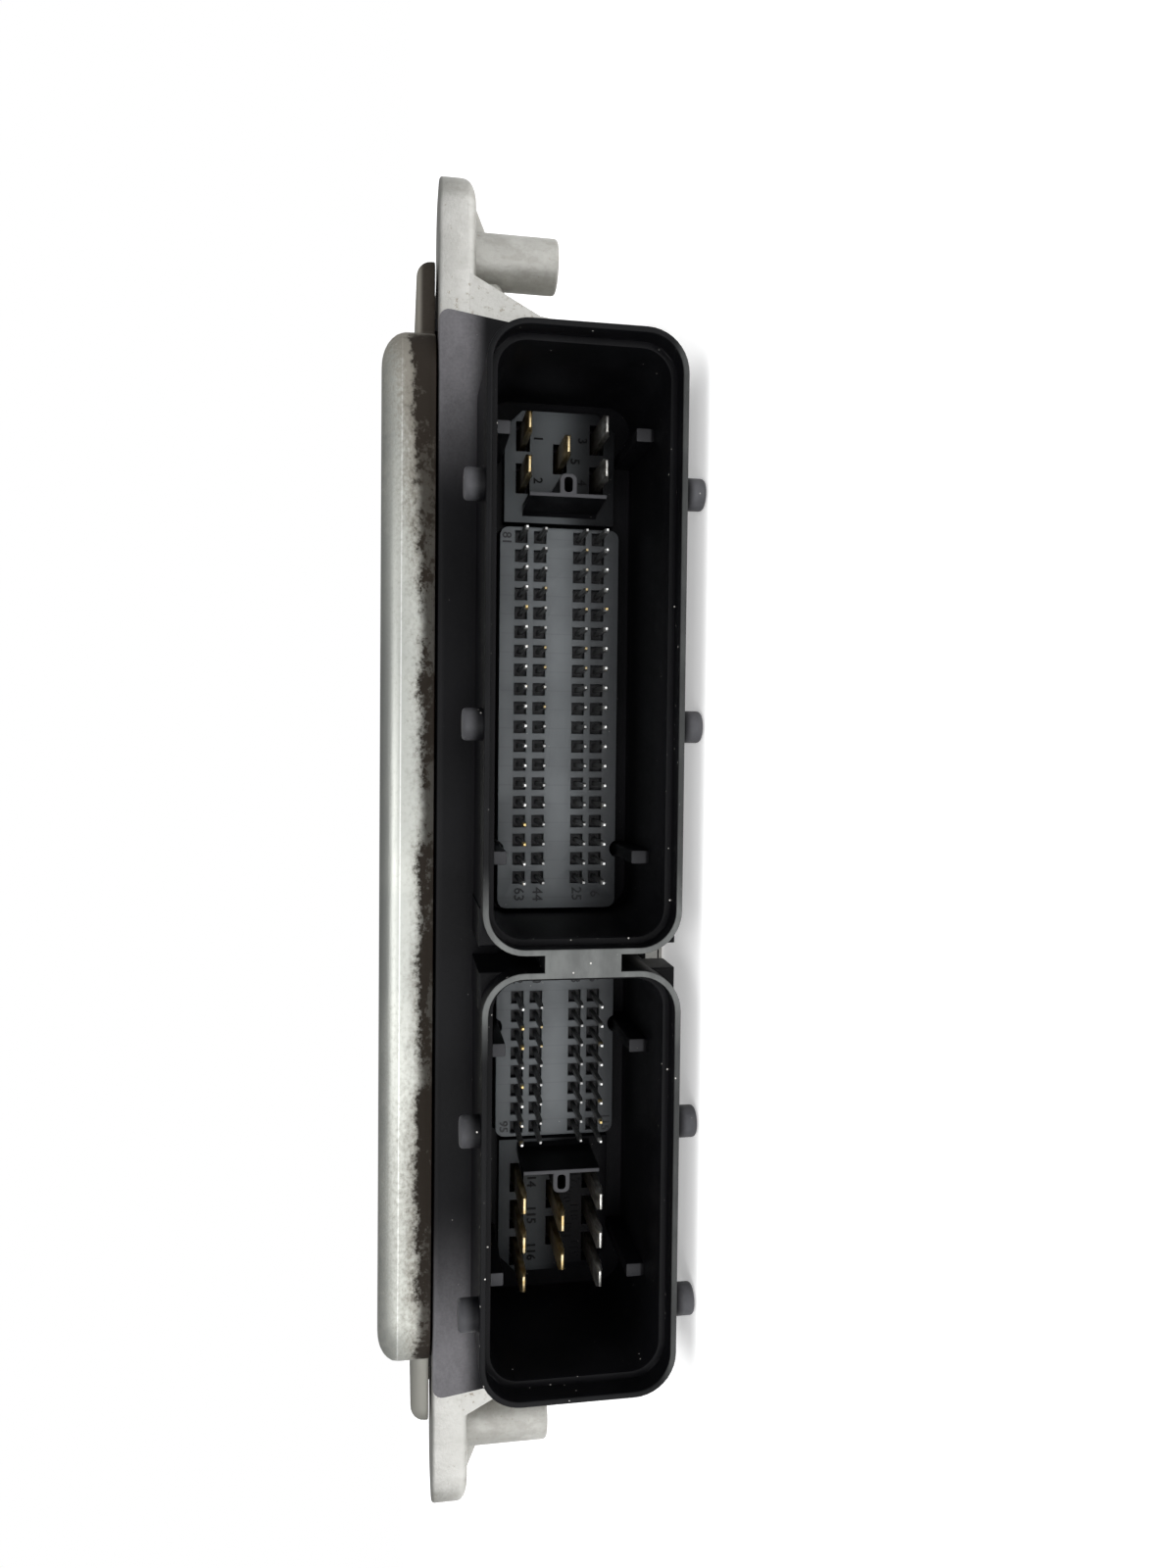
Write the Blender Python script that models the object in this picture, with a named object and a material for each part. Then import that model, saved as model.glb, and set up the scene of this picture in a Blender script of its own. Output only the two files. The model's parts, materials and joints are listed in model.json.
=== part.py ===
"""Engine control unit: cast aluminium tray, pressed lid and a plastic header with two plug sockets.

The unit lies lid up and its sockets face -Y. Its origin is the middle of its underside. Units are metres.
"""
import math

import bmesh
import bpy
from mathutils import Matrix, Vector

MM = 0.001
GAP = 0.3 * MM                      # between two pieces that touch
WELD = 0.001 * MM                   # vertices nearer than this are one
BITE = 0.5 * MM                     # how far a joined form sinks into its carrier, and a cutter stands out
ARC_STEPS = 4                       # facets of each rounded corner

# Whole unit: its length follows from the two sockets
DEPTH = 142.7 * MM                  # from the sockets' rims to the rear edge
FRONT_Y = -DEPTH / 2
REAR_Y = DEPTH / 2

# Plug sockets: two shrouds on one flange
LUG_PROUD = 2.4 * MM
LUG_DIAMETER = 3.8 * MM
LUG_SETBACK = 2.4 * MM              # from the rim to the lug's middle
SHROUD_LOW_Z = LUG_PROUD            # the lower lugs reach down to the underside
SHROUD_HEIGHT = 23.4 * MM
SHROUD_HIGH_Z = SHROUD_LOW_Z + SHROUD_HEIGHT
SHROUD_MID_Z = SHROUD_LOW_Z + SHROUD_HEIGHT / 2
SHROUD_CORNER = 5.0 * MM
LARGE_LEFT = -9.8 * MM
LARGE_LENGTH = 72.4 * MM
LARGE_RIGHT = LARGE_LEFT + LARGE_LENGTH
BRIDGE_LENGTH = 2.0 * MM            # clear space between the two shrouds
BRIDGE_HEIGHT = 9.0 * MM
SMALL_RIGHT = LARGE_LEFT - BRIDGE_LENGTH
SMALL_LENGTH = 50.9 * MM
SMALL_LEFT = SMALL_RIGHT - SMALL_LENGTH
HEADER_REACH = max(LARGE_RIGHT, -SMALL_LEFT)
LUG_X = (
    LARGE_RIGHT - 18.4 * MM, LARGE_LEFT + 26.6 * MM, SMALL_RIGHT - 18.8 * MM, SMALL_LEFT + 10.35 * MM)
RIM_WALL = 0.7 * MM                 # the wall is thin at the mouth, where the plug's seal enters
RIM_DEPTH = 3.0 * MM
SHROUD_WALL = 1.5 * MM
POCKET_DRAFT = 0.2 * MM             # how much each wall thickens down to the pocket's floor
PIN_PLANE_DEPTH = 22.7 * MM
PIN_PLANE_Y = FRONT_Y + PIN_PLANE_DEPTH
MOAT_DEPTH = 3.0 * MM
MOAT_Y = PIN_PLANE_Y + MOAT_DEPTH
HEADER_FLOOR = 2.0 * MM
HEADER_BACK_Y = MOAT_Y + HEADER_FLOOR
CORNER_BLOCK_SETBACK = 4.0 * MM
CORNER_BLOCK_LENGTH = 4.6 * MM
CORNER_BLOCK_INSET = 0.5 * MM
CORNER_BLOCK_PROUD = 0.15 * MM
CORNER_BLOCK_DEPTH = 6.0 * MM       # on the lower side, on the lid side it reaches the flange

# Flange that closes the tray's open front
FLANGE_SETBACK = 15.7 * MM
FLANGE_Y = FRONT_Y + FLANGE_SETBACK
FLANGE_THICKNESS = 3.0 * MM
FLANGE_BACK_Y = FLANGE_Y + FLANGE_THICKNESS
FLANGE_OVERHANG = 6.5 * MM          # beyond the shrouds, at the flange's lid-side edge
FLANGE_HALF_LENGTH = HEADER_REACH + FLANGE_OVERHANG
FLANGE_LONG_END = 1.2 * MM          # more at the small socket's end
FLANGE_LOW_Z = 4.2 * MM
FLANGE_HIGH_Z = 30.6 * MM
END_SLOPE = 0.15                    # the flange's ends and the tray's inner end walls lean by this
BOX_INSET = 0.7 * MM                # the header's rear box is this much smaller than the shrouds

# Inner ribs and keys
RIB_X = (
    LARGE_RIGHT - 9.2 * MM, LARGE_LEFT + 10.2 * MM, SMALL_RIGHT - 11.9 * MM, SMALL_LEFT + 9.9 * MM)
RIB_WIDTH = 1.7 * MM
RIB_PROUD = 2.1 * MM
RIB_SETBACK = 11.2 * MM
KEY_WIDTH = 10.0 * MM
KEY_HEIGHT = 8.2 * MM
KEY_THICKNESS = 0.9 * MM
KEY_TIP = 0.45 * MM
KEY_LEDGE = 1.1 * MM
KEY_BOSS_LENGTH = 2.5 * MM
KEY_BOSS_WIDTH = 2.2 * MM
KEY_SLOT = 1.0 * MM
KEY_SLOT_DEPTH = 5.0 * MM
LARGE_KEY_X = LARGE_RIGHT - 15.9 * MM
SMALL_KEY_X = SMALL_LEFT + 21.3 * MM

# Signal pins on their carriers
PIN_PITCH = 2.54 * MM
PIN_SIDE = 0.6 * MM
PIN_HEIGHT = 7.1 * MM
PIN_TIP_LENGTH = 0.9 * MM
PIN_TIP_SIDE = 0.28 * MM
PIN_RECESS_SIDE = 1.65 * MM
PIN_RECESS_DEPTH = 1.2 * MM
PIN_OUTER_OFFSET = 5.2 * MM         # of the outer pin rows from the shroud's middle
PIN_INNER_OFFSET = 2.67 * MM
PIN_ROW_OFFSETS = (PIN_OUTER_OFFSET, PIN_INNER_OFFSET, -PIN_INNER_OFFSET, -PIN_OUTER_OFFSET)
CARRIER_WIDTH = 16.1 * MM
CARRIER_CORNER = 1.2 * MM
CARRIER_WALL_PLAY = 0.5 * MM        # to the wall at the bridge
CARRIER_STEP = 0.7 * MM             # to the power floor
CARRIER_MARGIN = 1.3 * MM           # from the power floor's end to the first pins
LARGE_FAR_MARGIN = 2.6 * MM         # kept clear of pins at the far end
SMALL_FAR_MARGIN = 4.8 * MM

# Power blades
BLADE_WIDTH = 2.8 * MM
BLADE_THICKNESS = 0.8 * MM
BLADE_TIP = 0.8 * MM                # length of the tapered end
BLADE_PLAY = 0.45 * MM              # around the blade in its slot
BLADE_ROW_OFFSET = 5.0 * MM
LARGE_BLADE_HEIGHT = 8.0 * MM       # beyond the power floor
SMALL_BLADE_HEIGHT = 9.7 * MM
POWER_FLOOR_DROP = 0.9 * MM         # behind the pin plane
POWER_FLOOR_WIDTH = 15.0 * MM
POWER_FLOOR_CORNER = 2.0 * MM
POWER_FLOOR_SETBACK = 1.8 * MM      # from the shroud's end wall
LARGE_POWER_LENGTH = 15.0 * MM
SMALL_POWER_LENGTH = 18.4 * MM
LARGE_BLADE_PITCH = 5.6 * MM
SMALL_BLADE_PITCH = 5.1 * MM
LARGE_POWER_X = (
    LARGE_RIGHT - SHROUD_WALL - POWER_FLOOR_SETBACK - LARGE_POWER_LENGTH,
    LARGE_RIGHT - SHROUD_WALL - POWER_FLOOR_SETBACK)
SMALL_POWER_X = (
    SMALL_LEFT + SHROUD_WALL + 2 * POWER_FLOOR_SETBACK - 0.3 * MM,
    SMALL_LEFT + SHROUD_WALL + 2 * POWER_FLOOR_SETBACK - 0.3 * MM + SMALL_POWER_LENGTH)
LARGE_OUTER_BLADE_X = (LARGE_POWER_X[1] - 3.5 * MM, LARGE_POWER_X[1] - 3.5 * MM - LARGE_BLADE_PITCH)
LARGE_MIDDLE_BLADE_X = (LARGE_POWER_X[1] - 3.5 * MM - LARGE_BLADE_PITCH / 2,)
SMALL_OUTER_BLADE_X = tuple(SMALL_POWER_X[0] + 2.9 * MM + step * SMALL_BLADE_PITCH for step in (2, 1, 0))
SMALL_MIDDLE_BLADE_X = tuple(SMALL_POWER_X[0] + 2.9 * MM + (step + 0.5) * SMALL_BLADE_PITCH for step in (1, 0))
LARGE_CARRIER_X = (LARGE_LEFT + SHROUD_WALL + POCKET_DRAFT + CARRIER_WALL_PLAY, LARGE_POWER_X[0] - CARRIER_STEP)
SMALL_CARRIER_X = (SMALL_POWER_X[1] + CARRIER_STEP, SMALL_RIGHT - SHROUD_WALL - POCKET_DRAFT - CARRIER_WALL_PLAY)
TAIL_START = 1.6 * MM               # from the header's back to the first row of bent blade tails
TAIL_STEP = 1.8 * MM

# Cast tray
CAVITY_SIDE_PLAY = 0.9 * MM         # from the shrouds' ends to the cavity, at the tray's floor
CAVITY_HALF_LENGTH = HEADER_REACH + CAVITY_SIDE_PLAY
RIM_WIDTH = 15.4 * MM               # from the cavity at the floor out to the rim's edge
RIM_HALF_LENGTH = CAVITY_HALF_LENGTH + RIM_WIDTH
RIM_LOW_Z = 25.8 * MM
RIM_HIGH_Z = 30.5 * MM
TRAY_FRONT_Y = FLANGE_BACK_Y + GAP
TRAY_FLOOR = 2.5 * MM
TRAY_EDGE_CHAMFER = 0.8 * MM
TRAY_SHOULDER_Z = 17.5 * MM         # where the wall turns outward to the rim
TRAY_TOP_INSET = 4.2 * MM           # from the rim's edge to the outer wall, at four heights
TRAY_SHOULDER_INSET = 8.9 * MM
TRAY_FOOT_INSET = 11.7 * MM
TRAY_CORNER = 6.0 * MM
CAVITY_REAR_WALL = 15.0 * MM        # from the rim's rear edge to the cavity, at the floor

# Fixing ears and posts
EAR_WIDTH = 15.6 * MM
EAR_CORNER = 6.0 * MM
EAR_ROOT = 5.0 * MM
EAR_REACH = 10.0 * MM               # beyond the rim's edge
POST_X = RIM_HALF_LENGTH + 0.9 * MM
POST_INSET_Y = 8.2 * MM             # from the ear's edge to the post's axis
POST_DIAMETER = 7.2 * MM
POST_LENGTH = 11.4 * MM
POST_CHAMFER = 0.5 * MM
POST_BORE = 4.2 * MM
POST_BORE_DEPTH = 9.0 * MM
GUSSET_THICKNESS = 2.5 * MM
GUSSET_DROP = 2.0 * MM              # below the ear, at the post's outer side
GUSSET_STEP = 1.1 * MM              # more at its inner side

# Pressed lid
SHEET = 1.2 * MM
LID_TOP_Z = 37.7 * MM
SHELF_WIDTH = 11.0 * MM             # from the rim's edge to the raised middle
DOME_CORNER = 6.0 * MM
DOME_EDGE = 2.6 * MM
SHELF_Z = 33.3 * MM
SHELF_INSET = 0.5 * MM              # the hem stands this far inside the tray's rim
SHELF_SETBACK = 4.2 * MM            # behind the tray's front, beside the dome
SHELF_CORNER = 2.4 * MM
SHELF_EDGE = 1.8 * MM
SHELF_FRONT_Y = TRAY_FRONT_Y + SHELF_SETBACK
LID_SCREW_INSET = 5.1 * MM          # from the rim's edge to the screws' axes
LID_SCREW_SETBACK = 9.0 * MM        # from the shelf's front to the first screws
LID_SCREW_REAR_INSET = 16.4 * MM
LID_SCREW_COUNT = 3                 # at each end
LID_SCREW_HEAD = 5.0 * MM
LID_SCREW_SHANK = 2.6 * MM
LID_SCREW_LENGTH = 7.0 * MM
LID_SCREW_CONE = 1.3 * MM
LID_PAD_DIAMETER = 5.4 * MM

# Seals
LID_SEAL_INSET = 8.9 * MM           # from the rim's edge to the bead's middle
LID_SEAL_WIDTH = 1.6 * MM
LID_SEAL_GROOVE = 1.0 * MM
HEADER_SEAL_SETBACK = 2.0 * MM      # behind the tray's front
HEADER_SEAL_WIDTH = 2.4 * MM
HEADER_SEAL_GROOVE = 1.2 * MM

# Circuit board and what is on it
BOARD_THICKNESS = 1.6 * MM
BOARD_LOW_Z = 22.9 * MM
BOARD_PLAY = 1.6 * MM               # to the end walls
BOARD_REAR_INSET = 16.4 * MM        # from the rim's rear edge
BOARD_REAR_Y = REAR_Y - BOARD_REAR_INSET
BOARD_SCREW_INSET = 6.0 * MM        # from the board's ends and rear edge
BOARD_SCREW_SETBACK = 10.6 * MM     # from the header's back to the front screws
BOARD_SCREW_HEAD = 5.0 * MM
BOARD_SCREW_HEAD_HEIGHT = 2.0 * MM
BOARD_SCREW_SHANK = 2.6 * MM
BOARD_SCREW_LENGTH = 9.0 * MM
BOARD_BOSS_DIAMETER = 7.0 * MM
COOLING_LEDGE_DEPTH = 17.0 * MM     # in front of the board's rear edge
COOLING_LEDGE_FRONT_Y = BOARD_REAR_Y - COOLING_LEDGE_DEPTH
COOLING_LEDGE_HALF_LENGTH = 50.0 * MM
THERMAL_PAD = 1.0 * MM
DRIVER_SIZE = (10.0 * MM, 9.0 * MM, 2.4 * MM)
DRIVER_X = (-39.0 * MM, -13.0 * MM, 13.0 * MM, 39.0 * MM)
CAPACITOR_DIAMETER = 10.0 * MM
CAPACITOR_HEIGHT = 14.0 * MM
CAPACITOR_X = (-46.0 * MM, -33.0 * MM, -20.0 * MM)
CAPACITOR_SETBACK = 31.6 * MM       # from the header's back
CAPACITOR_Y = HEADER_BACK_Y + CAPACITOR_SETBACK
COIL_DIAMETER = 14.0 * MM
COIL_BORE = 6.0 * MM
COIL_HEIGHT = 6.5 * MM
COIL_X = 26.0 * MM
CHIPS = {                           # name: middle x, distance behind the header, length, width, height
    "microcontroller": (6 * MM, 46 * MM, 28 * MM, 28 * MM, 2.6 * MM),
    "flash_memory": (-27 * MM, 50 * MM, 14 * MM, 18 * MM, 2.2 * MM),
    "clock_crystal": (28 * MM, 36 * MM, 11 * MM, 4.6 * MM, 3.6 * MM),
    "bus_transceiver": (44 * MM, 22 * MM, 8 * MM, 6 * MM, 1.8 * MM),
    "voltage_regulator": (-48 * MM, 24 * MM, 10 * MM, 9 * MM, 3.0 * MM),
}

# Local (across, up, along) directions of an outline drawn along each axis
AXES = {
    "X": Matrix(((0, 0, 1, 0), (1, 0, 0, 0), (0, 1, 0, 0), (0, 0, 0, 1))),
    "Y": Matrix(((1, 0, 0, 0), (0, 0, 1, 0), (0, 1, 0, 0), (0, 0, 0, 1))),
    "Z": Matrix.Identity(4),
}


def clear_scene():
    for item in list(bpy.data.objects):
        bpy.data.objects.remove(item)


def new_collection(name):
    collection = bpy.data.collections.new(name)
    bpy.context.scene.collection.children.link(collection)
    return collection


def material(name, colour, roughness, metallic):
    surface = bpy.data.materials.new(name)
    surface.use_nodes = True
    shader = surface.node_tree.nodes["Principled BSDF"]
    shader.inputs["Base Color"].default_value = (*colour, 1)
    shader.inputs["Roughness"].default_value = roughness
    shader.inputs["Metallic"].default_value = metallic
    return surface


def rounded(corners, steps=ARC_STEPS):
    """Outline through (u, v, radius) corners, each one rounded by an arc."""
    points = []
    for index, (u, v, radius) in enumerate(corners):
        corner = Vector((u, v))
        if radius <= WELD:
            points.append(corner)
            continue
        before = (Vector(corners[index - 1][:2]) - corner).normalized()
        after = (Vector(corners[(index + 1) % len(corners)][:2]) - corner).normalized()
        half_angle = before.angle(after) / 2
        reach = radius / math.tan(half_angle)
        centre = corner + (before + after).normalized() * radius / math.sin(half_angle)
        first = corner + before * reach - centre
        last = corner + after * reach - centre
        start = math.atan2(first.y, first.x)
        sweep = math.atan2(last.y, last.x) - start
        sweep = (sweep + math.pi) % math.tau - math.pi
        for step in range(steps + 1):
            angle = start + sweep * step / steps
            points.append(centre + radius * Vector((math.cos(angle), math.sin(angle))))
    return points


def rectangle(u_low, u_high, v_low, v_high, radius=0.0, steps=ARC_STEPS):
    corners = ((u_high, v_high), (u_low, v_high), (u_low, v_low), (u_high, v_low))
    return rounded([(u, v, radius) for u, v in corners], steps)


def mirrored_outline(half):
    """Outline of a shape that is symmetric in its first coordinate, from its right half."""
    return list(half) + [(-corner[0], *corner[1:]) for corner in reversed(half)]


def closed_mesh(name, shape):
    """Weld a bmesh, face it outward and keep it as a mesh."""
    bmesh.ops.remove_doubles(shape, verts=shape.verts, dist=WELD)
    bmesh.ops.recalc_face_normals(shape, faces=shape.faces)
    mesh = bpy.data.meshes.new(name)
    shape.to_mesh(mesh)
    shape.free()
    return mesh


def extruded(name, outline, low, high, axis):
    """Flat outline drawn along an axis, from low to high."""
    curve = bpy.data.curves.new(name, "CURVE")
    curve.dimensions = "2D"
    curve.fill_mode = "BOTH"
    curve.extrude = (high - low) / 2
    spline = curve.splines.new("POLY")
    spline.points.add(len(outline) - 1)
    spline.use_cyclic_u = True
    for point, place in zip(spline.points, outline):
        point.co = (place[0], place[1], 0, 1)
    guide = bpy.data.objects.new(name, curve)
    bpy.context.scene.collection.objects.link(guide)
    graph = bpy.context.evaluated_depsgraph_get()
    filled = bpy.data.meshes.new_from_object(guide.evaluated_get(graph))
    bpy.data.objects.remove(guide)
    shape = bmesh.new()
    shape.from_mesh(filled)
    shape.transform(AXES[axis] @ Matrix.Translation((0, 0, (low + high) / 2)))
    return closed_mesh(name, shape)


def lofted(name, sections, axis):
    """Skin through (outline, height) sections with equally many points, along an axis."""
    shape = bmesh.new()
    rings = []
    for outline, height in sections:
        rings.append([shape.verts.new((u, v, height)) for u, v in outline])
    for lower, upper in zip(rings, rings[1:]):
        for index in range(len(lower)):
            after = (index + 1) % len(lower)
            shape.faces.new((lower[index], lower[after], upper[after], upper[index]))
    shape.faces.new(rings[0])
    shape.faces.new(rings[-1])
    shape.transform(AXES[axis])
    return closed_mesh(name, shape)


def turned(name, profile, centre, steps):
    """Body of revolution about a vertical axis, from (radius, z) points."""
    shape = bmesh.new()
    ring = [shape.verts.new((radius, 0, z)) for radius, z in profile]
    edges = [shape.edges.new(pair) for pair in zip(ring, ring[1:])]
    if profile[0][0] > WELD:
        edges.append(shape.edges.new((ring[-1], ring[0])))
    bmesh.ops.spin(shape, geom=ring + edges, axis=(0, 0, 1), cent=(0, 0, 0), angle=math.tau, steps=steps)
    shape.transform(Matrix.Translation((centre[0], centre[1], 0)))
    return closed_mesh(name, shape)


def box(x_range, y_range, z_range):
    """Block between two places on each axis."""
    low = Vector((min(x_range), min(y_range), min(z_range)))
    high = Vector((max(x_range), max(y_range), max(z_range)))
    shape = bmesh.new()
    size = Matrix.Diagonal((*(high - low), 1))
    bmesh.ops.create_cube(shape, size=1, matrix=Matrix.Translation((low + high) / 2) @ size)
    return closed_mesh("block", shape)


def cylinder(centre, diameter, low, high, axis="Z", steps=12):
    shape = bmesh.new()
    bmesh.ops.create_cone(
        shape, cap_ends=True, segments=steps, radius1=diameter / 2, radius2=diameter / 2, depth=high - low)
    shape.transform(AXES[axis] @ Matrix.Translation((centre[0], centre[1], (low + high) / 2)))
    return closed_mesh("cylinder", shape)


def gathered(name, meshes):
    """One mesh of several bodies that don't meet."""
    shape = bmesh.new()
    for mesh in meshes:
        shape.from_mesh(mesh)
    return closed_mesh(name, shape)


def part(name, mesh, surface):
    item = bpy.data.objects.new(name, mesh)
    parts.objects.link(item)
    mesh.materials.clear()
    mesh.materials.append(surface)
    mesh.shade_smooth()
    mesh.set_sharp_from_angle(angle=math.radians(35))
    return item


def combine(body, name, mesh, operation):
    """Join a form to a body or cut it out, by a Boolean modifier."""
    tool = bpy.data.objects.new(body.name + "_" + name, mesh)
    tool.hide_render = True
    tool.display_type = "WIRE"
    cutters.objects.link(tool)
    modifier = body.modifiers.new(name, "BOOLEAN")
    modifier.operation = operation
    modifier.object = tool
    modifier.solver = "EXACT"


def join(body, name, mesh):
    combine(body, name, mesh, "UNION")


def cut(body, name, mesh):
    combine(body, name, mesh, "DIFFERENCE")


# Header

def shroud_outline(left, right, inset):
    """The shroud's outline, seen along Y, drawn in by an inset."""
    low = SHROUD_LOW_Z + inset
    high = SHROUD_HIGH_Z - inset
    return rectangle(left + inset, right - inset, low, high, SHROUD_CORNER - inset)


def header_back_outline(inset=0.0):
    """The rear box behind the flange, seen along Y."""
    inset += BOX_INSET
    left = SMALL_LEFT + inset
    right = LARGE_RIGHT - inset
    return rectangle(left, right, SHROUD_LOW_Z + inset, SHROUD_HIGH_Z - inset, SHROUD_CORNER - BOX_INSET)


def flange_outline():
    """The flange seen along Y: its ends lean, and the one beside the small socket is longer."""
    lean = END_SLOPE * (FLANGE_HIGH_Z - FLANGE_LOW_Z)
    right = FLANGE_HALF_LENGTH
    left = -FLANGE_HALF_LENGTH - FLANGE_LONG_END
    return rounded([
        (left + lean, FLANGE_LOW_Z, 0.8 * MM),
        (right - lean, FLANGE_LOW_Z, 0.8 * MM),
        (right, FLANGE_HIGH_Z, 1.5 * MM),
        (left, FLANGE_HIGH_Z, 1.5 * MM),
    ])


def corner_block(inner_x, side):
    """Square block on a shroud's bridge-side corners: long on the lid side, short on the lower side."""
    low = SHROUD_LOW_Z - CORNER_BLOCK_PROUD
    high = SHROUD_HIGH_Z + CORNER_BLOCK_PROUD
    front = FRONT_Y + CORNER_BLOCK_SETBACK
    step = front + CORNER_BLOCK_DEPTH
    back = FLANGE_Y + BITE
    outline = [(front, low), (step, low), (step, SHROUD_MID_Z), (back, SHROUD_MID_Z), (back, high), (front, high)]
    start = inner_x + side * CORNER_BLOCK_INSET
    end = start + side * CORNER_BLOCK_LENGTH
    return extruded("corner_block", outline, min(start, end), max(start, end), "X")


def key_wall(foot_x, side):
    """Thin cross wall beside the blades, thicker and ledged at its foot; side points to the blades."""
    foot_y = PIN_PLANE_Y + POWER_FLOOR_DROP
    top_y = foot_y - KEY_HEIGHT
    outline = [
        (foot_x, foot_y + BITE),
        (foot_x, top_y),
        (foot_x - side * KEY_TIP, top_y),
        (foot_x - side * KEY_THICKNESS, foot_y - KEY_TIP),
        (foot_x - side * (KEY_THICKNESS + KEY_LEDGE), foot_y + BITE),
    ]
    low = SHROUD_MID_Z - KEY_WIDTH / 2
    return extruded("key_wall", outline, low, low + KEY_WIDTH, "Z")


def key_boss(foot_x, side):
    foot_y = PIN_PLANE_Y + POWER_FLOOR_DROP
    near = foot_x - side * KEY_TIP / 2
    far = foot_x + side * KEY_BOSS_LENGTH
    low = SHROUD_MID_Z - KEY_BOSS_WIDTH / 2
    high = SHROUD_MID_Z + KEY_BOSS_WIDTH / 2
    outline = rounded([(near, low, 0), (far, low, 0.7 * MM), (far, high, 0.7 * MM), (near, high, 0)], 2)
    return extruded("key_boss", outline, foot_y - KEY_HEIGHT, foot_y + BITE, "Y")


def key_slot(foot_x, side):
    wall = (KEY_BOSS_WIDTH - KEY_SLOT) / 2
    top_y = PIN_PLANE_Y + POWER_FLOOR_DROP - KEY_HEIGHT
    ends = (foot_x + side * wall / 2, foot_x + side * (KEY_BOSS_LENGTH - wall))
    outline = rectangle(
        min(ends), max(ends), SHROUD_MID_Z - KEY_SLOT / 2, SHROUD_MID_Z + KEY_SLOT / 2, 0.3 * MM, 2)
    return extruded("key_slot", outline, top_y - BITE, top_y + KEY_SLOT_DEPTH, "Y")


def inner_ribs():
    """Guide ribs on both long walls of the sockets, from mid depth to the floor."""
    ribs = []
    wall = SHROUD_WALL + POCKET_DRAFT
    for x in RIB_X:
        across = (x - RIB_WIDTH / 2, x + RIB_WIDTH / 2)
        along = (FRONT_Y + RIB_SETBACK, MOAT_Y + BITE)
        low = SHROUD_LOW_Z + wall
        high = SHROUD_HIGH_Z - wall
        ribs.append(box(across, along, (low - BITE, low + RIB_PROUD)))
        ribs.append(box(across, along, (high - RIB_PROUD, high + BITE)))
    return gathered("inner_ribs", ribs)


def lugs():
    """Round lugs that the plugs' levers draw on, on both long sides."""
    y = FRONT_Y + LUG_SETBACK
    pieces = []
    for x in LUG_X:
        pieces.append(cylinder((x, y), LUG_DIAMETER, SHROUD_LOW_Z - LUG_PROUD, SHROUD_LOW_Z + RIM_WALL / 2))
        pieces.append(cylinder((x, y), LUG_DIAMETER, SHROUD_HIGH_Z - RIM_WALL / 2, SHROUD_HIGH_Z + LUG_PROUD))
    return gathered("lugs", pieces)


def carrier_outline(x_range, inset=0.0):
    low = SHROUD_MID_Z - CARRIER_WIDTH / 2 + inset
    high = SHROUD_MID_Z + CARRIER_WIDTH / 2 - inset
    return rectangle(x_range[0] + inset, x_range[1] - inset, low, high, CARRIER_CORNER - inset, 2)


def blade_places():
    """Name, x, z and tip y of every power blade."""
    floor_y = PIN_PLANE_Y + POWER_FLOOR_DROP
    rows = (
        ("large_outer", LARGE_OUTER_BLADE_X, (BLADE_ROW_OFFSET, -BLADE_ROW_OFFSET), LARGE_BLADE_HEIGHT),
        ("large_middle", LARGE_MIDDLE_BLADE_X, (0.0,), LARGE_BLADE_HEIGHT),
        ("small_outer", SMALL_OUTER_BLADE_X, (BLADE_ROW_OFFSET, -BLADE_ROW_OFFSET), SMALL_BLADE_HEIGHT),
        ("small_middle", SMALL_MIDDLE_BLADE_X, (0.0,), SMALL_BLADE_HEIGHT),
    )
    places = []
    for name, x_places, offsets, height in rows:
        for offset in offsets:
            for x in x_places:
                label = f"blade_{name}_{len(places) + 1:02d}"
                places.append((label, x, SHROUD_MID_Z + offset, floor_y - height))
    return places


def blade_slots():
    across = BLADE_WIDTH / 2 + BLADE_PLAY
    up = BLADE_THICKNESS / 2 + BLADE_PLAY
    along = (PIN_PLANE_Y - BITE, HEADER_BACK_Y + BITE)
    return gathered("blade_slots", [
        box((x - across, x + across), along, (z - up, z + up)) for _, x, z, _ in blade_places()])


def power_floor(x_range, side):
    """Raised floor that the blades come through, round at its outer corners; side points outward."""
    near, far = (x_range if side > 0 else reversed(x_range))
    low = SHROUD_MID_Z - POWER_FLOOR_WIDTH / 2
    high = SHROUD_MID_Z + POWER_FLOOR_WIDTH / 2
    corners = [
        (near, low, 0), (far, low, POWER_FLOOR_CORNER), (far, high, POWER_FLOOR_CORNER), (near, high, 0)]
    return extruded("power_floor", rounded(corners), PIN_PLANE_Y + POWER_FLOOR_DROP, MOAT_Y + BITE, "Y")


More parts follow.
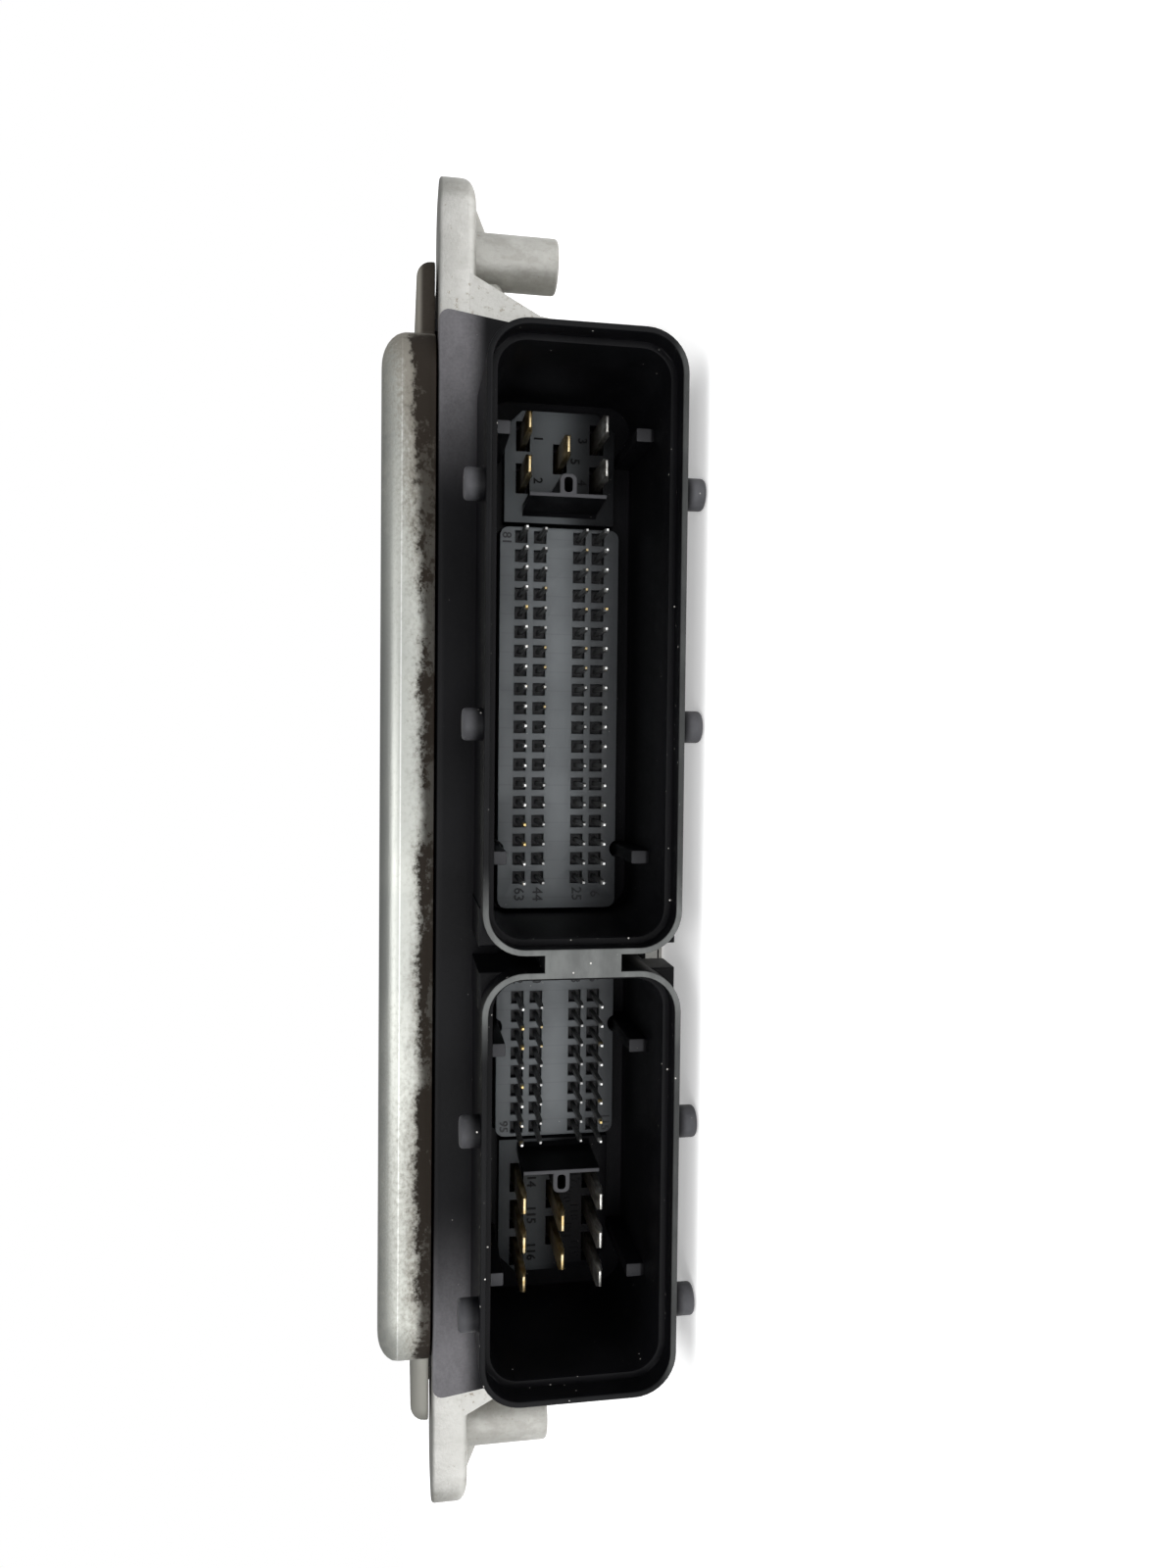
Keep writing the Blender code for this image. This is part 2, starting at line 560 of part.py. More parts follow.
def build_header(plastic):
    body = part("header_body", extruded("flange", flange_outline(), FLANGE_Y, FLANGE_BACK_Y, "Y"), plastic)
    sockets = (("large", LARGE_LEFT, LARGE_RIGHT), ("small", SMALL_LEFT, SMALL_RIGHT))
    shroud_back = FLANGE_BACK_Y - BITE
    for name, left, right in sockets:
        join(body, name + "_shroud", extruded("shroud", shroud_outline(left, right, 0), FRONT_Y, shroud_back, "Y"))
    back = extruded("rear_box", header_back_outline(), FLANGE_Y + BITE, HEADER_BACK_Y, "Y")
    join(body, "rear_box", back)
    join(body, "large_corner_block", corner_block(LARGE_LEFT, 1))
    join(body, "small_corner_block", corner_block(SMALL_RIGHT, -1))
    bridge = box(
        (SMALL_RIGHT - RIM_WALL / 2, LARGE_LEFT + RIM_WALL / 2),
        (FRONT_Y + WELD * 50, FLANGE_Y + BITE),
        (SHROUD_MID_Z - BRIDGE_HEIGHT / 2, SHROUD_MID_Z + BRIDGE_HEIGHT / 2))
    join(body, "bridge", bridge)
    join(body, "lugs", lugs())
    for name, left, right in sockets:
        mouth = shroud_outline(left, right, RIM_WALL)
        cut(body, name + "_mouth", extruded("mouth", mouth, FRONT_Y - BITE, FRONT_Y + RIM_DEPTH, "Y"))
        pocket = (
            (shroud_outline(left, right, SHROUD_WALL), FRONT_Y + RIM_DEPTH - BITE),
            (shroud_outline(left, right, SHROUD_WALL + POCKET_DRAFT), MOAT_Y),
        )
        cut(body, name + "_pocket", lofted("pocket", pocket, "Y"))
    join(body, "inner_ribs", inner_ribs())
    join(body, "large_power_floor", power_floor(LARGE_POWER_X, 1))
    join(body, "small_power_floor", power_floor(SMALL_POWER_X, -1))
    for name, foot_x, side in (("large", LARGE_KEY_X, 1), ("small", SMALL_KEY_X, -1)):
        join(body, name + "_key_wall", key_wall(foot_x, side))
        join(body, name + "_key_boss", key_boss(foot_x, side))
        cut(body, name + "_key_slot", key_slot(foot_x, side))
    for name, x_range in (("large", LARGE_CARRIER_X), ("small", SMALL_CARRIER_X)):
        window = carrier_outline(x_range, -GAP)
        cut(body, name + "_window", extruded("window", window, MOAT_Y - BITE, HEADER_BACK_Y + BITE, "Y"))
    cut(body, "blade_slots", blade_slots())


def pin(x, z):
    """Square pin with a tapered tip, rooted in its carrier."""
    half = PIN_SIDE / 2
    tip = PIN_TIP_SIDE / 2
    top_y = PIN_PLANE_Y - PIN_HEIGHT
    sections = []
    for reach, y in ((tip, top_y), (half, top_y + PIN_TIP_LENGTH), (half, PIN_PLANE_Y + PIN_RECESS_DEPTH + BITE)):
        sections.append((rectangle(x - reach, x + reach, z - reach, z + reach), y))
    return lofted("pin", sections, "Y")


def build_carrier(name, x_range, side, far_margin, surface):
    """Plate with four rows of square pins, each in its own recess; side points to the power floor."""
    body = part(name, extruded(name, carrier_outline(x_range), PIN_PLANE_Y, HEADER_BACK_Y, "Y"), surface)
    half = PIN_RECESS_SIDE / 2
    along = (PIN_PLANE_Y - BITE, PIN_PLANE_Y + PIN_RECESS_DEPTH)
    near, far = (x_range[::-1] if side > 0 else x_range)
    count = int((abs(near - far) - CARRIER_MARGIN - far_margin) / PIN_PITCH) + 1
    places = []
    for offset in PIN_ROW_OFFSETS:
        for index in range(count):
            places.append((near - side * (CARRIER_MARGIN + index * PIN_PITCH), SHROUD_MID_Z + offset))
    recesses = [box((x - half, x + half), along, (z - half, z + half)) for x, z in places]
    cut(body, "recesses", gathered("recesses", recesses))
    join(body, "pins", gathered("pins", [pin(x, z) for x, z in places]))
    reach = RIB_WIDTH / 2 + GAP
    edge = CARRIER_WIDTH / 2
    notches = []
    for x in RIB_X:
        if x_range[0] < x < x_range[1]:
            for side in (-1, 1):
                z = SHROUD_MID_Z + side * (edge + reach / 3)
                notches.append(cylinder((x, z), 2 * reach, PIN_PLANE_Y - BITE, MOAT_Y + BITE, "Y", 10))
    cut(body, "rib_notches", gathered("rib_notches", notches))


def build_blades(surface):
    """Flat blades with tapered tips, bent up behind the header to the board's underside."""
    half = BLADE_THICKNESS / 2
    top_z = BOARD_LOW_Z - GAP
    for name, x, z, tip_y in blade_places():
        row = round((SHROUD_MID_Z + BLADE_ROW_OFFSET - z) / BLADE_ROW_OFFSET)
        bend_y = HEADER_BACK_Y + TAIL_START + row * TAIL_STEP
        outline = [
            (tip_y, z - half / 3),
            (tip_y + BLADE_TIP, z - half),
            (bend_y + BLADE_THICKNESS, z - half),
            (bend_y + BLADE_THICKNESS, top_z),
            (bend_y, top_z),
            (bend_y, z + half),
            (tip_y + BLADE_TIP, z + half),
            (tip_y, z + half / 3),
        ]
        part(name, extruded(name, outline, x - BLADE_WIDTH / 2, x + BLADE_WIDTH / 2, "X"), surface)


# Tray

def cavity_half_length(z):
    return CAVITY_HALF_LENGTH + END_SLOPE * (z - TRAY_FLOOR)


def tray_section(inset, front_y):
    """The tray's outer wall at one height, set in from the rim's edge on three sides."""
    half = RIM_HALF_LENGTH - inset
    rear = REAR_Y - inset
    return rounded(mirrored_outline([(half, front_y, 0.6 * MM), (half, rear, TRAY_CORNER)]))


def rim_outline():
    """The rim seen from above, with an ear at each corner."""
    tip = RIM_HALF_LENGTH + EAR_REACH
    half = [
        (tip, TRAY_FRONT_Y, EAR_CORNER),
        (tip, TRAY_FRONT_Y + EAR_WIDTH, EAR_CORNER),
        (RIM_HALF_LENGTH, TRAY_FRONT_Y + EAR_WIDTH + EAR_ROOT, EAR_ROOT),
        (RIM_HALF_LENGTH, REAR_Y - EAR_WIDTH - EAR_ROOT, EAR_ROOT),
        (tip, REAR_Y - EAR_WIDTH, EAR_CORNER),
        (tip, REAR_Y, EAR_CORNER),
    ]
    return rounded(mirrored_outline(half))


def cavity():
    """The tray's hollow, open at the top and at the front."""
    sections = []
    for z in (TRAY_FLOOR, RIM_HIGH_Z + BITE):
        half = cavity_half_length(z)
        rear = REAR_Y - CAVITY_REAR_WALL + END_SLOPE * (z - TRAY_FLOOR)
        corners = [(half, TRAY_FRONT_Y - BITE, 0), (half, rear, TRAY_CORNER)]
        sections.append((rounded(mirrored_outline(corners)), z))
    return lofted("cavity", sections, "Z")


def corner_places():
    """Post axis, and the signs of its corner, for the four posts."""
    for side in (-1, 1):
        yield side * POST_X, TRAY_FRONT_Y + POST_INSET_Y, side
        yield side * POST_X, REAR_Y - POST_INSET_Y, side


def post(x, y):
    radius = POST_DIAMETER / 2
    end = RIM_LOW_Z - POST_LENGTH
    profile = ((0, RIM_LOW_Z + BITE), (radius, RIM_LOW_Z + BITE), (radius, end + POST_CHAMFER),
               (radius - POST_CHAMFER, end), (0, end))
    return turned("post", profile, (x, y), 16)


def post_web(x, y, side):
    """Rib under the ear, from the end wall through the post's root to the ear's tip, seen along Y."""
    tip = RIM_HALF_LENGTH + EAR_REACH - EAR_CORNER / 4
    wall_x = RIM_HALF_LENGTH - TRAY_SHOULDER_INSET - BITE
    outline = [
        (side * wall_x, RIM_LOW_Z + BITE),
        (side * wall_x, TRAY_SHOULDER_Z),
        (x - side * POST_DIAMETER / 2, RIM_LOW_Z - GUSSET_DROP - GUSSET_STEP),
        (x + side * POST_DIAMETER / 2, RIM_LOW_Z - GUSSET_DROP),
        (side * tip, RIM_LOW_Z),
        (side * tip, RIM_LOW_Z + BITE),
    ]
    half = GUSSET_THICKNESS / 2
    return extruded("post_web", outline, y - half, y + half, "Y")


def board_half_length():
    return cavity_half_length(BOARD_LOW_Z) - BOARD_PLAY


def lid_screw_places():
    x = RIM_HALF_LENGTH - LID_SCREW_INSET
    first = SHELF_FRONT_Y + LID_SCREW_SETBACK
    step = (REAR_Y - LID_SCREW_REAR_INSET - first) / (LID_SCREW_COUNT - 1)
    return [(side * x, first + index * step) for side in (-1, 1) for index in range(LID_SCREW_COUNT)]


def board_screw_places():
    x = board_half_length() - BOARD_SCREW_INSET
    rows = (HEADER_BACK_Y + BOARD_SCREW_SETBACK, BOARD_REAR_Y - BOARD_SCREW_INSET)
    return [(side * x, y) for side in (-1, 1) for y in rows]


def seal_path(reach):
    """Half of the lid seal's U outline: its outer and inner edges stand off the middle by the reach."""
    outer_x = RIM_HALF_LENGTH - LID_SEAL_INSET + reach
    inner_x = outer_x - 2 * reach
    outer_y = REAR_Y - LID_SEAL_INSET + reach
    inner_y = outer_y - 2 * reach
    front = SHELF_FRONT_Y + SHEET + GAP + LID_SEAL_WIDTH / 2 - reach
    outer = [(outer_x, front, 0), (outer_x, outer_y, TRAY_CORNER)]
    inner = [(-inner_x, inner_y, TRAY_CORNER - 2 * reach), (-inner_x, front, 0)]
    left = [(-corner[0], *corner[1:]) for corner in reversed(outer)]
    right = [(-corner[0], *corner[1:]) for corner in reversed(inner)]
    return rounded(outer + left + list(reversed(inner)) + list(reversed(right)))


def header_seal_outline(play):
    """U-shaped seal between the header's rear box and the tray, seen along Y."""
    low = TRAY_FLOOR - HEADER_SEAL_GROOVE + play
    high = SHROUD_HIGH_Z - SHROUD_CORNER
    box_right = LARGE_RIGHT - BOX_INSET + GAP
    box_left = SMALL_LEFT + BOX_INSET - GAP
    box_low = SHROUD_LOW_Z + BOX_INSET - GAP
    foot = CAVITY_HALF_LENGTH - play
    top = cavity_half_length(high) - play
    return [
        (foot, low), (foot, TRAY_FLOOR), (top, high), (box_right, high), (box_right, box_low),
        (box_left, box_low), (box_left, high), (-top, high), (-foot, TRAY_FLOOR), (-foot, low)]


def header_seal_range(play):
    front = TRAY_FRONT_Y + HEADER_SEAL_SETBACK
    return front + play, front + HEADER_SEAL_WIDTH + 2 * GAP - play


def build_tray(metal):
    levels = (
        (0.0, TRAY_FOOT_INSET + TRAY_EDGE_CHAMFER, TRAY_FRONT_Y + TRAY_EDGE_CHAMFER),
        (TRAY_EDGE_CHAMFER, TRAY_FOOT_INSET, TRAY_FRONT_Y),
        (TRAY_SHOULDER_Z, TRAY_SHOULDER_INSET, TRAY_FRONT_Y),
        (RIM_LOW_Z + BITE, TRAY_TOP_INSET, TRAY_FRONT_Y + WELD * 50),
    )
    sections = [(tray_section(inset, front), z) for z, inset, front in levels]
    body = part("base_housing", lofted("tray", sections, "Z"), metal)
    rim = rim_outline()
    join(body, "rim", lofted("rim", ((rim, RIM_LOW_Z), (rim, RIM_HIGH_Z)), "Z"))
    for index, (x, y, side) in enumerate(corner_places()):
        join(body, f"post_{index}", post(x, y))
        join(body, f"web_{index}", post_web(x, y, side))
    pads = []
    for place in lid_screw_places():
        pads.append(cylinder(place, LID_PAD_DIAMETER, RIM_HIGH_Z - BITE, SHELF_Z - SHEET - GAP))
    join(body, "lid_pads", gathered("lid_pads", pads))
    cut(body, "cavity", cavity())
    ledge_top = BOARD_LOW_Z - 3 * GAP - DRIVER_SIZE[2] - THERMAL_PAD
    ledge = box(
        (-COOLING_LEDGE_HALF_LENGTH, COOLING_LEDGE_HALF_LENGTH),
        (COOLING_LEDGE_FRONT_Y, REAR_Y - CAVITY_REAR_WALL + END_SLOPE * ledge_top),
        (TRAY_FLOOR - BITE, ledge_top))
    join(body, "cooling_ledge", ledge)
    bosses = []
    for place in board_screw_places():
        bosses.append(cylinder(place, BOARD_BOSS_DIAMETER, TRAY_FLOOR - BITE, BOARD_LOW_Z - GAP))
    join(body, "board_bosses", gathered("board_bosses", bosses))
    seal_floor = RIM_HIGH_Z - LID_SEAL_GROOVE
    groove = extruded("groove", seal_path(LID_SEAL_WIDTH / 2 + GAP), seal_floor, RIM_HIGH_Z + BITE, "Z")
    cut(body, "lid_seal_groove", groove)
    front, back = header_seal_range(0)
    across = (-CAVITY_HALF_LENGTH, CAVITY_HALF_LENGTH)
    sill = box(across, (front, back), (TRAY_FLOOR - HEADER_SEAL_GROOVE, TRAY_FLOOR + BITE))
    cut(body, "header_seal_groove", sill)
    bores = []
    for x, y, _ in corner_places():
        end = RIM_LOW_Z - POST_LENGTH
        bores.append(cylinder((x, y), POST_BORE, end - BITE, end + POST_BORE_DEPTH))
    screw_end = SHELF_Z - LID_SCREW_LENGTH - GAP
    for place in lid_screw_places():
        bores.append(cylinder(place, LID_SCREW_SHANK + 2 * GAP, screw_end, SHELF_Z, steps=8))
    screw_end = BOARD_LOW_Z + BOARD_THICKNESS + GAP - BOARD_SCREW_LENGTH - GAP
    for place in board_screw_places():
        bores.append(cylinder(place, BOARD_SCREW_SHANK + 2 * GAP, screw_end, BOARD_LOW_Z + BITE, steps=8))
    cut(body, "bores", gathered("bores", bores))


# Lid

def dome_sections(inset, low):
    """The lid's raised middle, drawn in by an inset, from its foot up over its rounded edge."""
    sections = []
    edge = DOME_EDGE - inset
    top = LID_TOP_Z - inset
    steps = 3
    levels = [(0.0, low)]
    for step in range(steps + 1):
        angle = math.radians(90 * step / steps)
        levels.append((edge * (1 - math.cos(angle)), top - edge + edge * math.sin(angle)))
    front = FLANGE_Y
    rear = REAR_Y - SHELF_WIDTH
    for shrink, z in levels:
        reach = inset + shrink
        half = RIM_HALF_LENGTH - SHELF_WIDTH - reach
        corner = DOME_CORNER - reach
        outline = rectangle(-half, half, front + reach, rear - reach, corner)
        sections.append((outline, z))
    return sections


def shelf_sections(inset, low):
    """The lid's lower shelf and hem on three sides."""
    sections = []
    top = SHELF_Z - inset
    edge = SHELF_EDGE - inset
    profile = [(0.0, low)]
    for degrees in (0, 30, 60, 90):
        angle = math.radians(degrees)
        profile.append((edge * (1 - math.cos(angle)), top - edge + edge * math.sin(angle)))
    for shrink, z in profile:
        reach = inset + shrink
        half = RIM_HALF_LENGTH - SHELF_INSET - reach
        rear = REAR_Y - SHELF_INSET - reach
        sections.append((rectangle(-half, half, SHELF_FRONT_Y + reach, rear, SHELF_CORNER - reach), z))
    return sections


def build_lid(sheet):
    foot = FLANGE_HIGH_Z + GAP
    hem = RIM_HIGH_Z + GAP
    body = part("lid", lofted("dome", dome_sections(0.0, foot), "Z"), sheet)
    join(body, "shelf", lofted("shelf", shelf_sections(0.0, hem), "Z"))
    cut(body, "dome_hollow", lofted("dome_hollow", dome_sections(SHEET, foot - 2 * BITE), "Z"))
    cut(body, "shelf_hollow", lofted("shelf_hollow", shelf_sections(SHEET, hem - BITE), "Z"))
    holes = []
    for place in lid_screw_places():
        shank = LID_SCREW_SHANK / 2 + GAP
        head = LID_SCREW_HEAD / 2 + GAP
        profile = (
            (0, SHELF_Z + BITE), (head + BITE, SHELF_Z + BITE), (head, SHELF_Z), (shank, SHELF_Z - LID_SCREW_CONE),
            (shank, SHELF_Z - SHEET - BITE), (0, SHELF_Z - SHEET - BITE))
        holes.append(turned("screw_hole", profile, place, 12))
    cut(body, "screw_holes", gathered("screw_holes", holes))


def build_fasteners(steel):
    for index, place in enumerate(lid_screw_places(), 1):
        shank = LID_SCREW_SHANK / 2
        end = SHELF_Z - LID_SCREW_LENGTH
        profile = (
            (0, SHELF_Z - GAP), (LID_SCREW_HEAD / 2 - GAP, SHELF_Z - GAP), (shank, SHELF_Z - LID_SCREW_CONE),
            (shank, end), (0, end))
        part(f"lid_screw_{index}", turned("lid_screw", profile, place, 12), steel)
    for index, place in enumerate(board_screw_places(), 1):
        seat = BOARD_LOW_Z + BOARD_THICKNESS + GAP
        shank = BOARD_SCREW_SHANK / 2
        head = BOARD_SCREW_HEAD / 2
        top = seat + BOARD_SCREW_HEAD_HEIGHT
        profile = (
            (0, top), (head * 0.6, top), (head, top - BOARD_SCREW_HEAD_HEIGHT / 2), (head, seat), (shank, seat),
            (shank, seat - BOARD_SCREW_LENGTH), (0, seat - BOARD_SCREW_LENGTH))
        part(f"board_screw_{index}", turned("board_screw", profile, place, 12), steel)


def build_seals(rubber):
    top = SHELF_Z - SHEET - GAP
    bead = extruded("lid_seal", seal_path(LID_SEAL_WIDTH / 2), RIM_HIGH_Z - LID_SEAL_GROOVE + GAP, top, "Z")
    part("lid_seal", bead, rubber)
    front, back = header_seal_range(GAP)
    part("header_seal", extruded("header_seal", header_seal_outline(GAP), front, back, "Y"), rubber)


# Electronics

def bevelled_block(name, size, centre, bevel):
    """Chip body: a block with its edges taken off."""
    shape = bmesh.new()
    place = Matrix.Translation(centre) @ Matrix.Diagonal((*size, 1))
    bmesh.ops.create_cube(shape, size=1, matrix=place)
    bmesh.ops.bevel(shape, geom=shape.edges[:], offset=bevel, segments=1, affect="EDGES")
    return closed_mesh(name, shape)


def build_board(laminate):
    front = HEADER_BACK_Y + GAP
    half = board_half_length()
    outline = rectangle(-half, half, front, BOARD_REAR_Y, 2.0 * MM, 2)
    top = BOARD_LOW_Z + BOARD_THICKNESS
    body = part("circuit_board", extruded("circuit_board", outline, BOARD_LOW_Z, top, "Z"), laminate)
    hole = BOARD_SCREW_SHANK + 2 * GAP
    holes = [
        cylinder(place, hole, BOARD_LOW_Z - BITE, top + BITE, steps=8) for place in board_screw_places()]
    cut(body, "screw_holes", gathered("screw_holes", holes))


def build_electronics(moulded, can, ferrite, pad):
    top = BOARD_LOW_Z + BOARD_THICKNESS + GAP
    for name, (x, setback, length, width, height) in CHIPS.items():
        surface = can if name == "clock_crystal" else moulded
        y = HEADER_BACK_Y + setback
        part(name, bevelled_block(name, (length, width, height), (x, y, top + height / 2), 0.3 * MM), surface)
    under = BOARD_LOW_Z - GAP
    driver_y = (COOLING_LEDGE_FRONT_Y + BOARD_REAR_Y) / 2
    for index, x in enumerate(DRIVER_X, 1):
        name = f"power_driver_{index}"
        place = (x, driver_y, under - DRIVER_SIZE[2] / 2)
        part(name, bevelled_block(name, DRIVER_SIZE, place, 0.3 * MM), moulded)
    pad_top = under - DRIVER_SIZE[2] - GAP
    reach = DRIVER_SIZE[1] / 2
    strip = box(
        (DRIVER_X[0] - DRIVER_SIZE[0] / 2, DRIVER_X[-1] + DRIVER_SIZE[0] / 2),
        (driver_y - reach, driver_y + reach), (pad_top - THERMAL_PAD, pad_top))
    part("thermal_pad", strip, pad)
    for index, x in enumerate(CAPACITOR_X, 1):
        radius = CAPACITOR_DIAMETER / 2
        neck = under - CAPACITOR_HEIGHT * 0.12
        profile = (
            (0, under), (radius, under), (radius, neck + 0.6 * MM), (radius - 0.5 * MM, neck),
            (radius, neck - 0.6 * MM), (radius, under - CAPACITOR_HEIGHT + 0.5 * MM),
            (radius - 0.5 * MM, under - CAPACITOR_HEIGHT), (0, under - CAPACITOR_HEIGHT))
        part(f"capacitor_{index}", turned("capacitor", profile, (x, CAPACITOR_Y), 16), can)
    outer = COIL_DIAMETER / 2
    inner = COIL_BORE / 2
    side = (outer - inner) / 4
    middle = under - COIL_HEIGHT / 2
    profile = (
        (inner, middle + COIL_HEIGHT / 2 - side), (inner + side, under), (outer - side, under),
        (outer, under - side), (outer, under - COIL_HEIGHT + side), (outer - side, under - COIL_HEIGHT),
        (inner + side, under - COIL_HEIGHT), (inner, under - COIL_HEIGHT + side))
    part("storage_coil", turned("storage_coil", profile, (COIL_X, CAPACITOR_Y), 16), ferrite)


clear_scene()
parts = new_collection("engine_control_unit")
cutters = new_collection("cutters")

cast_aluminium = material("cast_aluminium", (0.60, 0.59, 0.57), 0.50, 1.0)
lid_aluminium = material("lid_aluminium", (0.66, 0.66, 0.64), 0.42, 1.0)
header_plastic = material("header_plastic", (0.030, 0.029, 0.033), 0.45, 0.0)
carrier_plastic = material("carrier_plastic", (0.075, 0.077, 0.080), 0.55, 0.0)
blade_metal = material("blade_metal", (0.72, 0.60, 0.38), 0.30, 1.0)
screw_steel = material("screw_steel", (0.55, 0.55, 0.55), 0.35, 1.0)
seal_rubber = material("seal_rubber", (0.035, 0.035, 0.035), 0.80, 0.0)
board_laminate = material("board_laminate", (0.030, 0.120, 0.060), 0.50, 0.0)
chip_plastic = material("chip_plastic", (0.025, 0.025, 0.027), 0.55, 0.0)
can_metal = material("can_metal", (0.62, 0.62, 0.64), 0.30, 1.0)
coil_ferrite = material("coil_ferrite", (0.06, 0.06, 0.06), 0.70, 0.0)
pad_silicone = material("pad_silicone", (0.45, 0.50, 0.55), 0.80, 0.0)

build_header(header_plastic)
build_carrier("pin_carrier_large", LARGE_CARRIER_X, 1, LARGE_FAR_MARGIN, carrier_plastic)
build_carrier("pin_carrier_small", SMALL_CARRIER_X, -1, SMALL_FAR_MARGIN, carrier_plastic)
build_blades(blade_metal)
build_tray(cast_aluminium)
build_lid(lid_aluminium)
build_fasteners(screw_steel)
build_seals(seal_rubber)
build_board(board_laminate)
build_electronics(chip_plastic, can_metal, coil_ferrite, pad_silicone)
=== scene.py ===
# %% [markdown]
# # An engine control unit in Blender
# The unit is a flat metal box. It has a cast aluminium tray with four fixing ears, a pressed aluminium lid,
# and a black plastic header that closes the open front with two plug sockets. The measured model comes in
# as a fixed frame, and this lesson dresses it: fine pieces replace the plain ones, and every surface gets a
# finish. The unit lies with its lid up, and its sockets look towards -Y.

# %% Load the measured model
import json
import math

import bmesh
import bpy
from mathutils import Matrix, Vector

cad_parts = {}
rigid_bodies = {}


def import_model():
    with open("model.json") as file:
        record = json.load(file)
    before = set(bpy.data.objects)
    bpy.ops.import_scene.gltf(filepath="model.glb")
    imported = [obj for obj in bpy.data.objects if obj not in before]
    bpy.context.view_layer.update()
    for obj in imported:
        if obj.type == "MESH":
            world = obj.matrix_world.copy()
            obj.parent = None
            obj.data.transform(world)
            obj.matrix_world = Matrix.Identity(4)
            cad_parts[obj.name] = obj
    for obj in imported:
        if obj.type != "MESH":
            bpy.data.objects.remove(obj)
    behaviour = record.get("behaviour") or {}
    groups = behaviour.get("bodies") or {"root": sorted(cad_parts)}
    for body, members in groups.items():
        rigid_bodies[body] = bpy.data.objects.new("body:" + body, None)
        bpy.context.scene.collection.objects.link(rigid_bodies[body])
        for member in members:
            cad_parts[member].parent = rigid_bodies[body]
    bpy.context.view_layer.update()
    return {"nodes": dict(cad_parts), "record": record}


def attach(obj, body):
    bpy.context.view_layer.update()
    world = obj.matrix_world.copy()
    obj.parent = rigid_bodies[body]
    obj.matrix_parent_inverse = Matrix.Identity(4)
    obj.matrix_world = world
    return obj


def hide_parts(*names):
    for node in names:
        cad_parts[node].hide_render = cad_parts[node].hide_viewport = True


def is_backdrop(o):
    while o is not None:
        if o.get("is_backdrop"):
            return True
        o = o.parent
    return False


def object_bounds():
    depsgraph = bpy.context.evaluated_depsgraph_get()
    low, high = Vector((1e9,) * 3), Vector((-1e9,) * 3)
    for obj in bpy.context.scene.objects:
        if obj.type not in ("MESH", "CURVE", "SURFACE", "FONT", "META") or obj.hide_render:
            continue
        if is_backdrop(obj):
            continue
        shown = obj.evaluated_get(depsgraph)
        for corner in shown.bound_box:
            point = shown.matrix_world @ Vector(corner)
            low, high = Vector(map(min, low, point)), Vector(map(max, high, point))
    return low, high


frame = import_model()
nodes = frame["nodes"]

# %% [markdown]
# ## Primitives at their size and place
# Every form starts as a block or a drum between two places on each axis, in millimetres. Blender's cube
# could be added at size 1 and dragged into shape, but a part with fits is easier to read when its faces'
# places are given. Applying the transform moves the place into the mesh, so each finished piece sits at the
# origin.

# %% Blocks and drums
MM = 0.001
TURNS = {"X": (0, math.pi / 2, 0), "Y": (math.pi / 2, 0, 0), "Z": (0, 0, 0)}


def around(place, half):
    """Two places half a width before and after a middle."""
    return place - half, place + half


def centre_of(ends):
    return sum(ends) / 2


def settled(name):
    """Name the primitive that was just added, and move its place into its mesh."""
    piece = bpy.context.object
    piece.name = name
    piece.data.name = name
    bpy.ops.object.transform_apply(location=True, rotation=True, scale=True)
    return piece


def block(name, x, y, z):
    """Block between two places on each axis."""
    bpy.ops.object.select_all(action="DESELECT")
    ranges = [sorted(places) for places in (x, y, z)]
    bpy.ops.mesh.primitive_cube_add(
        size=1,
        location=[(low + high) / 2 * MM for low, high in ranges],
        scale=[(high - low) * MM for low, high in ranges])
    return settled(name)


def drum(name, centre, diameter, low, high, axis="Z", sides=32):
    """Cylinder between two places along an axis, with its centre on the other two axes."""
    bpy.ops.object.select_all(action="DESELECT")
    middle = (low + high) / 2
    place = {"X": (middle, *centre), "Y": (centre[0], middle, centre[1]), "Z": (*centre, middle)}[axis]
    bpy.ops.mesh.primitive_cylinder_add(
        vertices=sides, radius=diameter / 2 * MM, depth=(high - low) * MM,
        location=[part * MM for part in place], rotation=TURNS[axis])
    return settled(name)


# %% [markdown]
# ## Picking edges and faces in code
# A person clicks on the edges to round. A script picks them by where they lie and how they run, and the
# same edit mode tools then act on the selection. Nothing else may be selected, because a tool acts on all
# of it.

# %% Select and round
AXIS = {"X": 0, "Y": 1, "Z": 2}
CLOSE = 0.02


def only(*pieces):
    """Select these pieces alone, the first one active."""
    bpy.ops.object.select_all(action="DESELECT")
    for piece in pieces:
        piece.select_set(True)
    bpy.context.view_layer.objects.active = pieces[0]


def choose(piece, wanted, kind="EDGE"):
    """Open a piece in edit mode with only the wanted faces, edges or vertices selected."""
    only(piece)
    bpy.ops.object.mode_set(mode="EDIT")
    bpy.ops.mesh.select_mode(type=kind)
    bpy.ops.mesh.select_all(action="DESELECT")
    shape = bmesh.from_edit_mesh(piece.data)
    items = {"VERT": shape.verts, "EDGE": shape.edges, "FACE": shape.faces}[kind]
    chosen = [item for item in items if wanted(item)]
    for item in chosen:
        item.select_set(True)
    shape.select_flush_mode()
    bmesh.update_edit_mesh(piece.data)
    return len(chosen)


def done():
    bpy.ops.object.mode_set(mode="OBJECT")


def corners(item):
    return [item] if isinstance(item, bmesh.types.BMVert) else item.verts


def middle(item):
    """Middle of a face, an edge or a vertex, in millimetres."""
    points = [corner.co for corner in corners(item)]
    return sum(points, Vector()) / len(points) / MM


def lies_at(item, axis, place):
    return all(abs(corner.co[AXIS[axis]] / MM - place) < CLOSE for corner in corners(item))


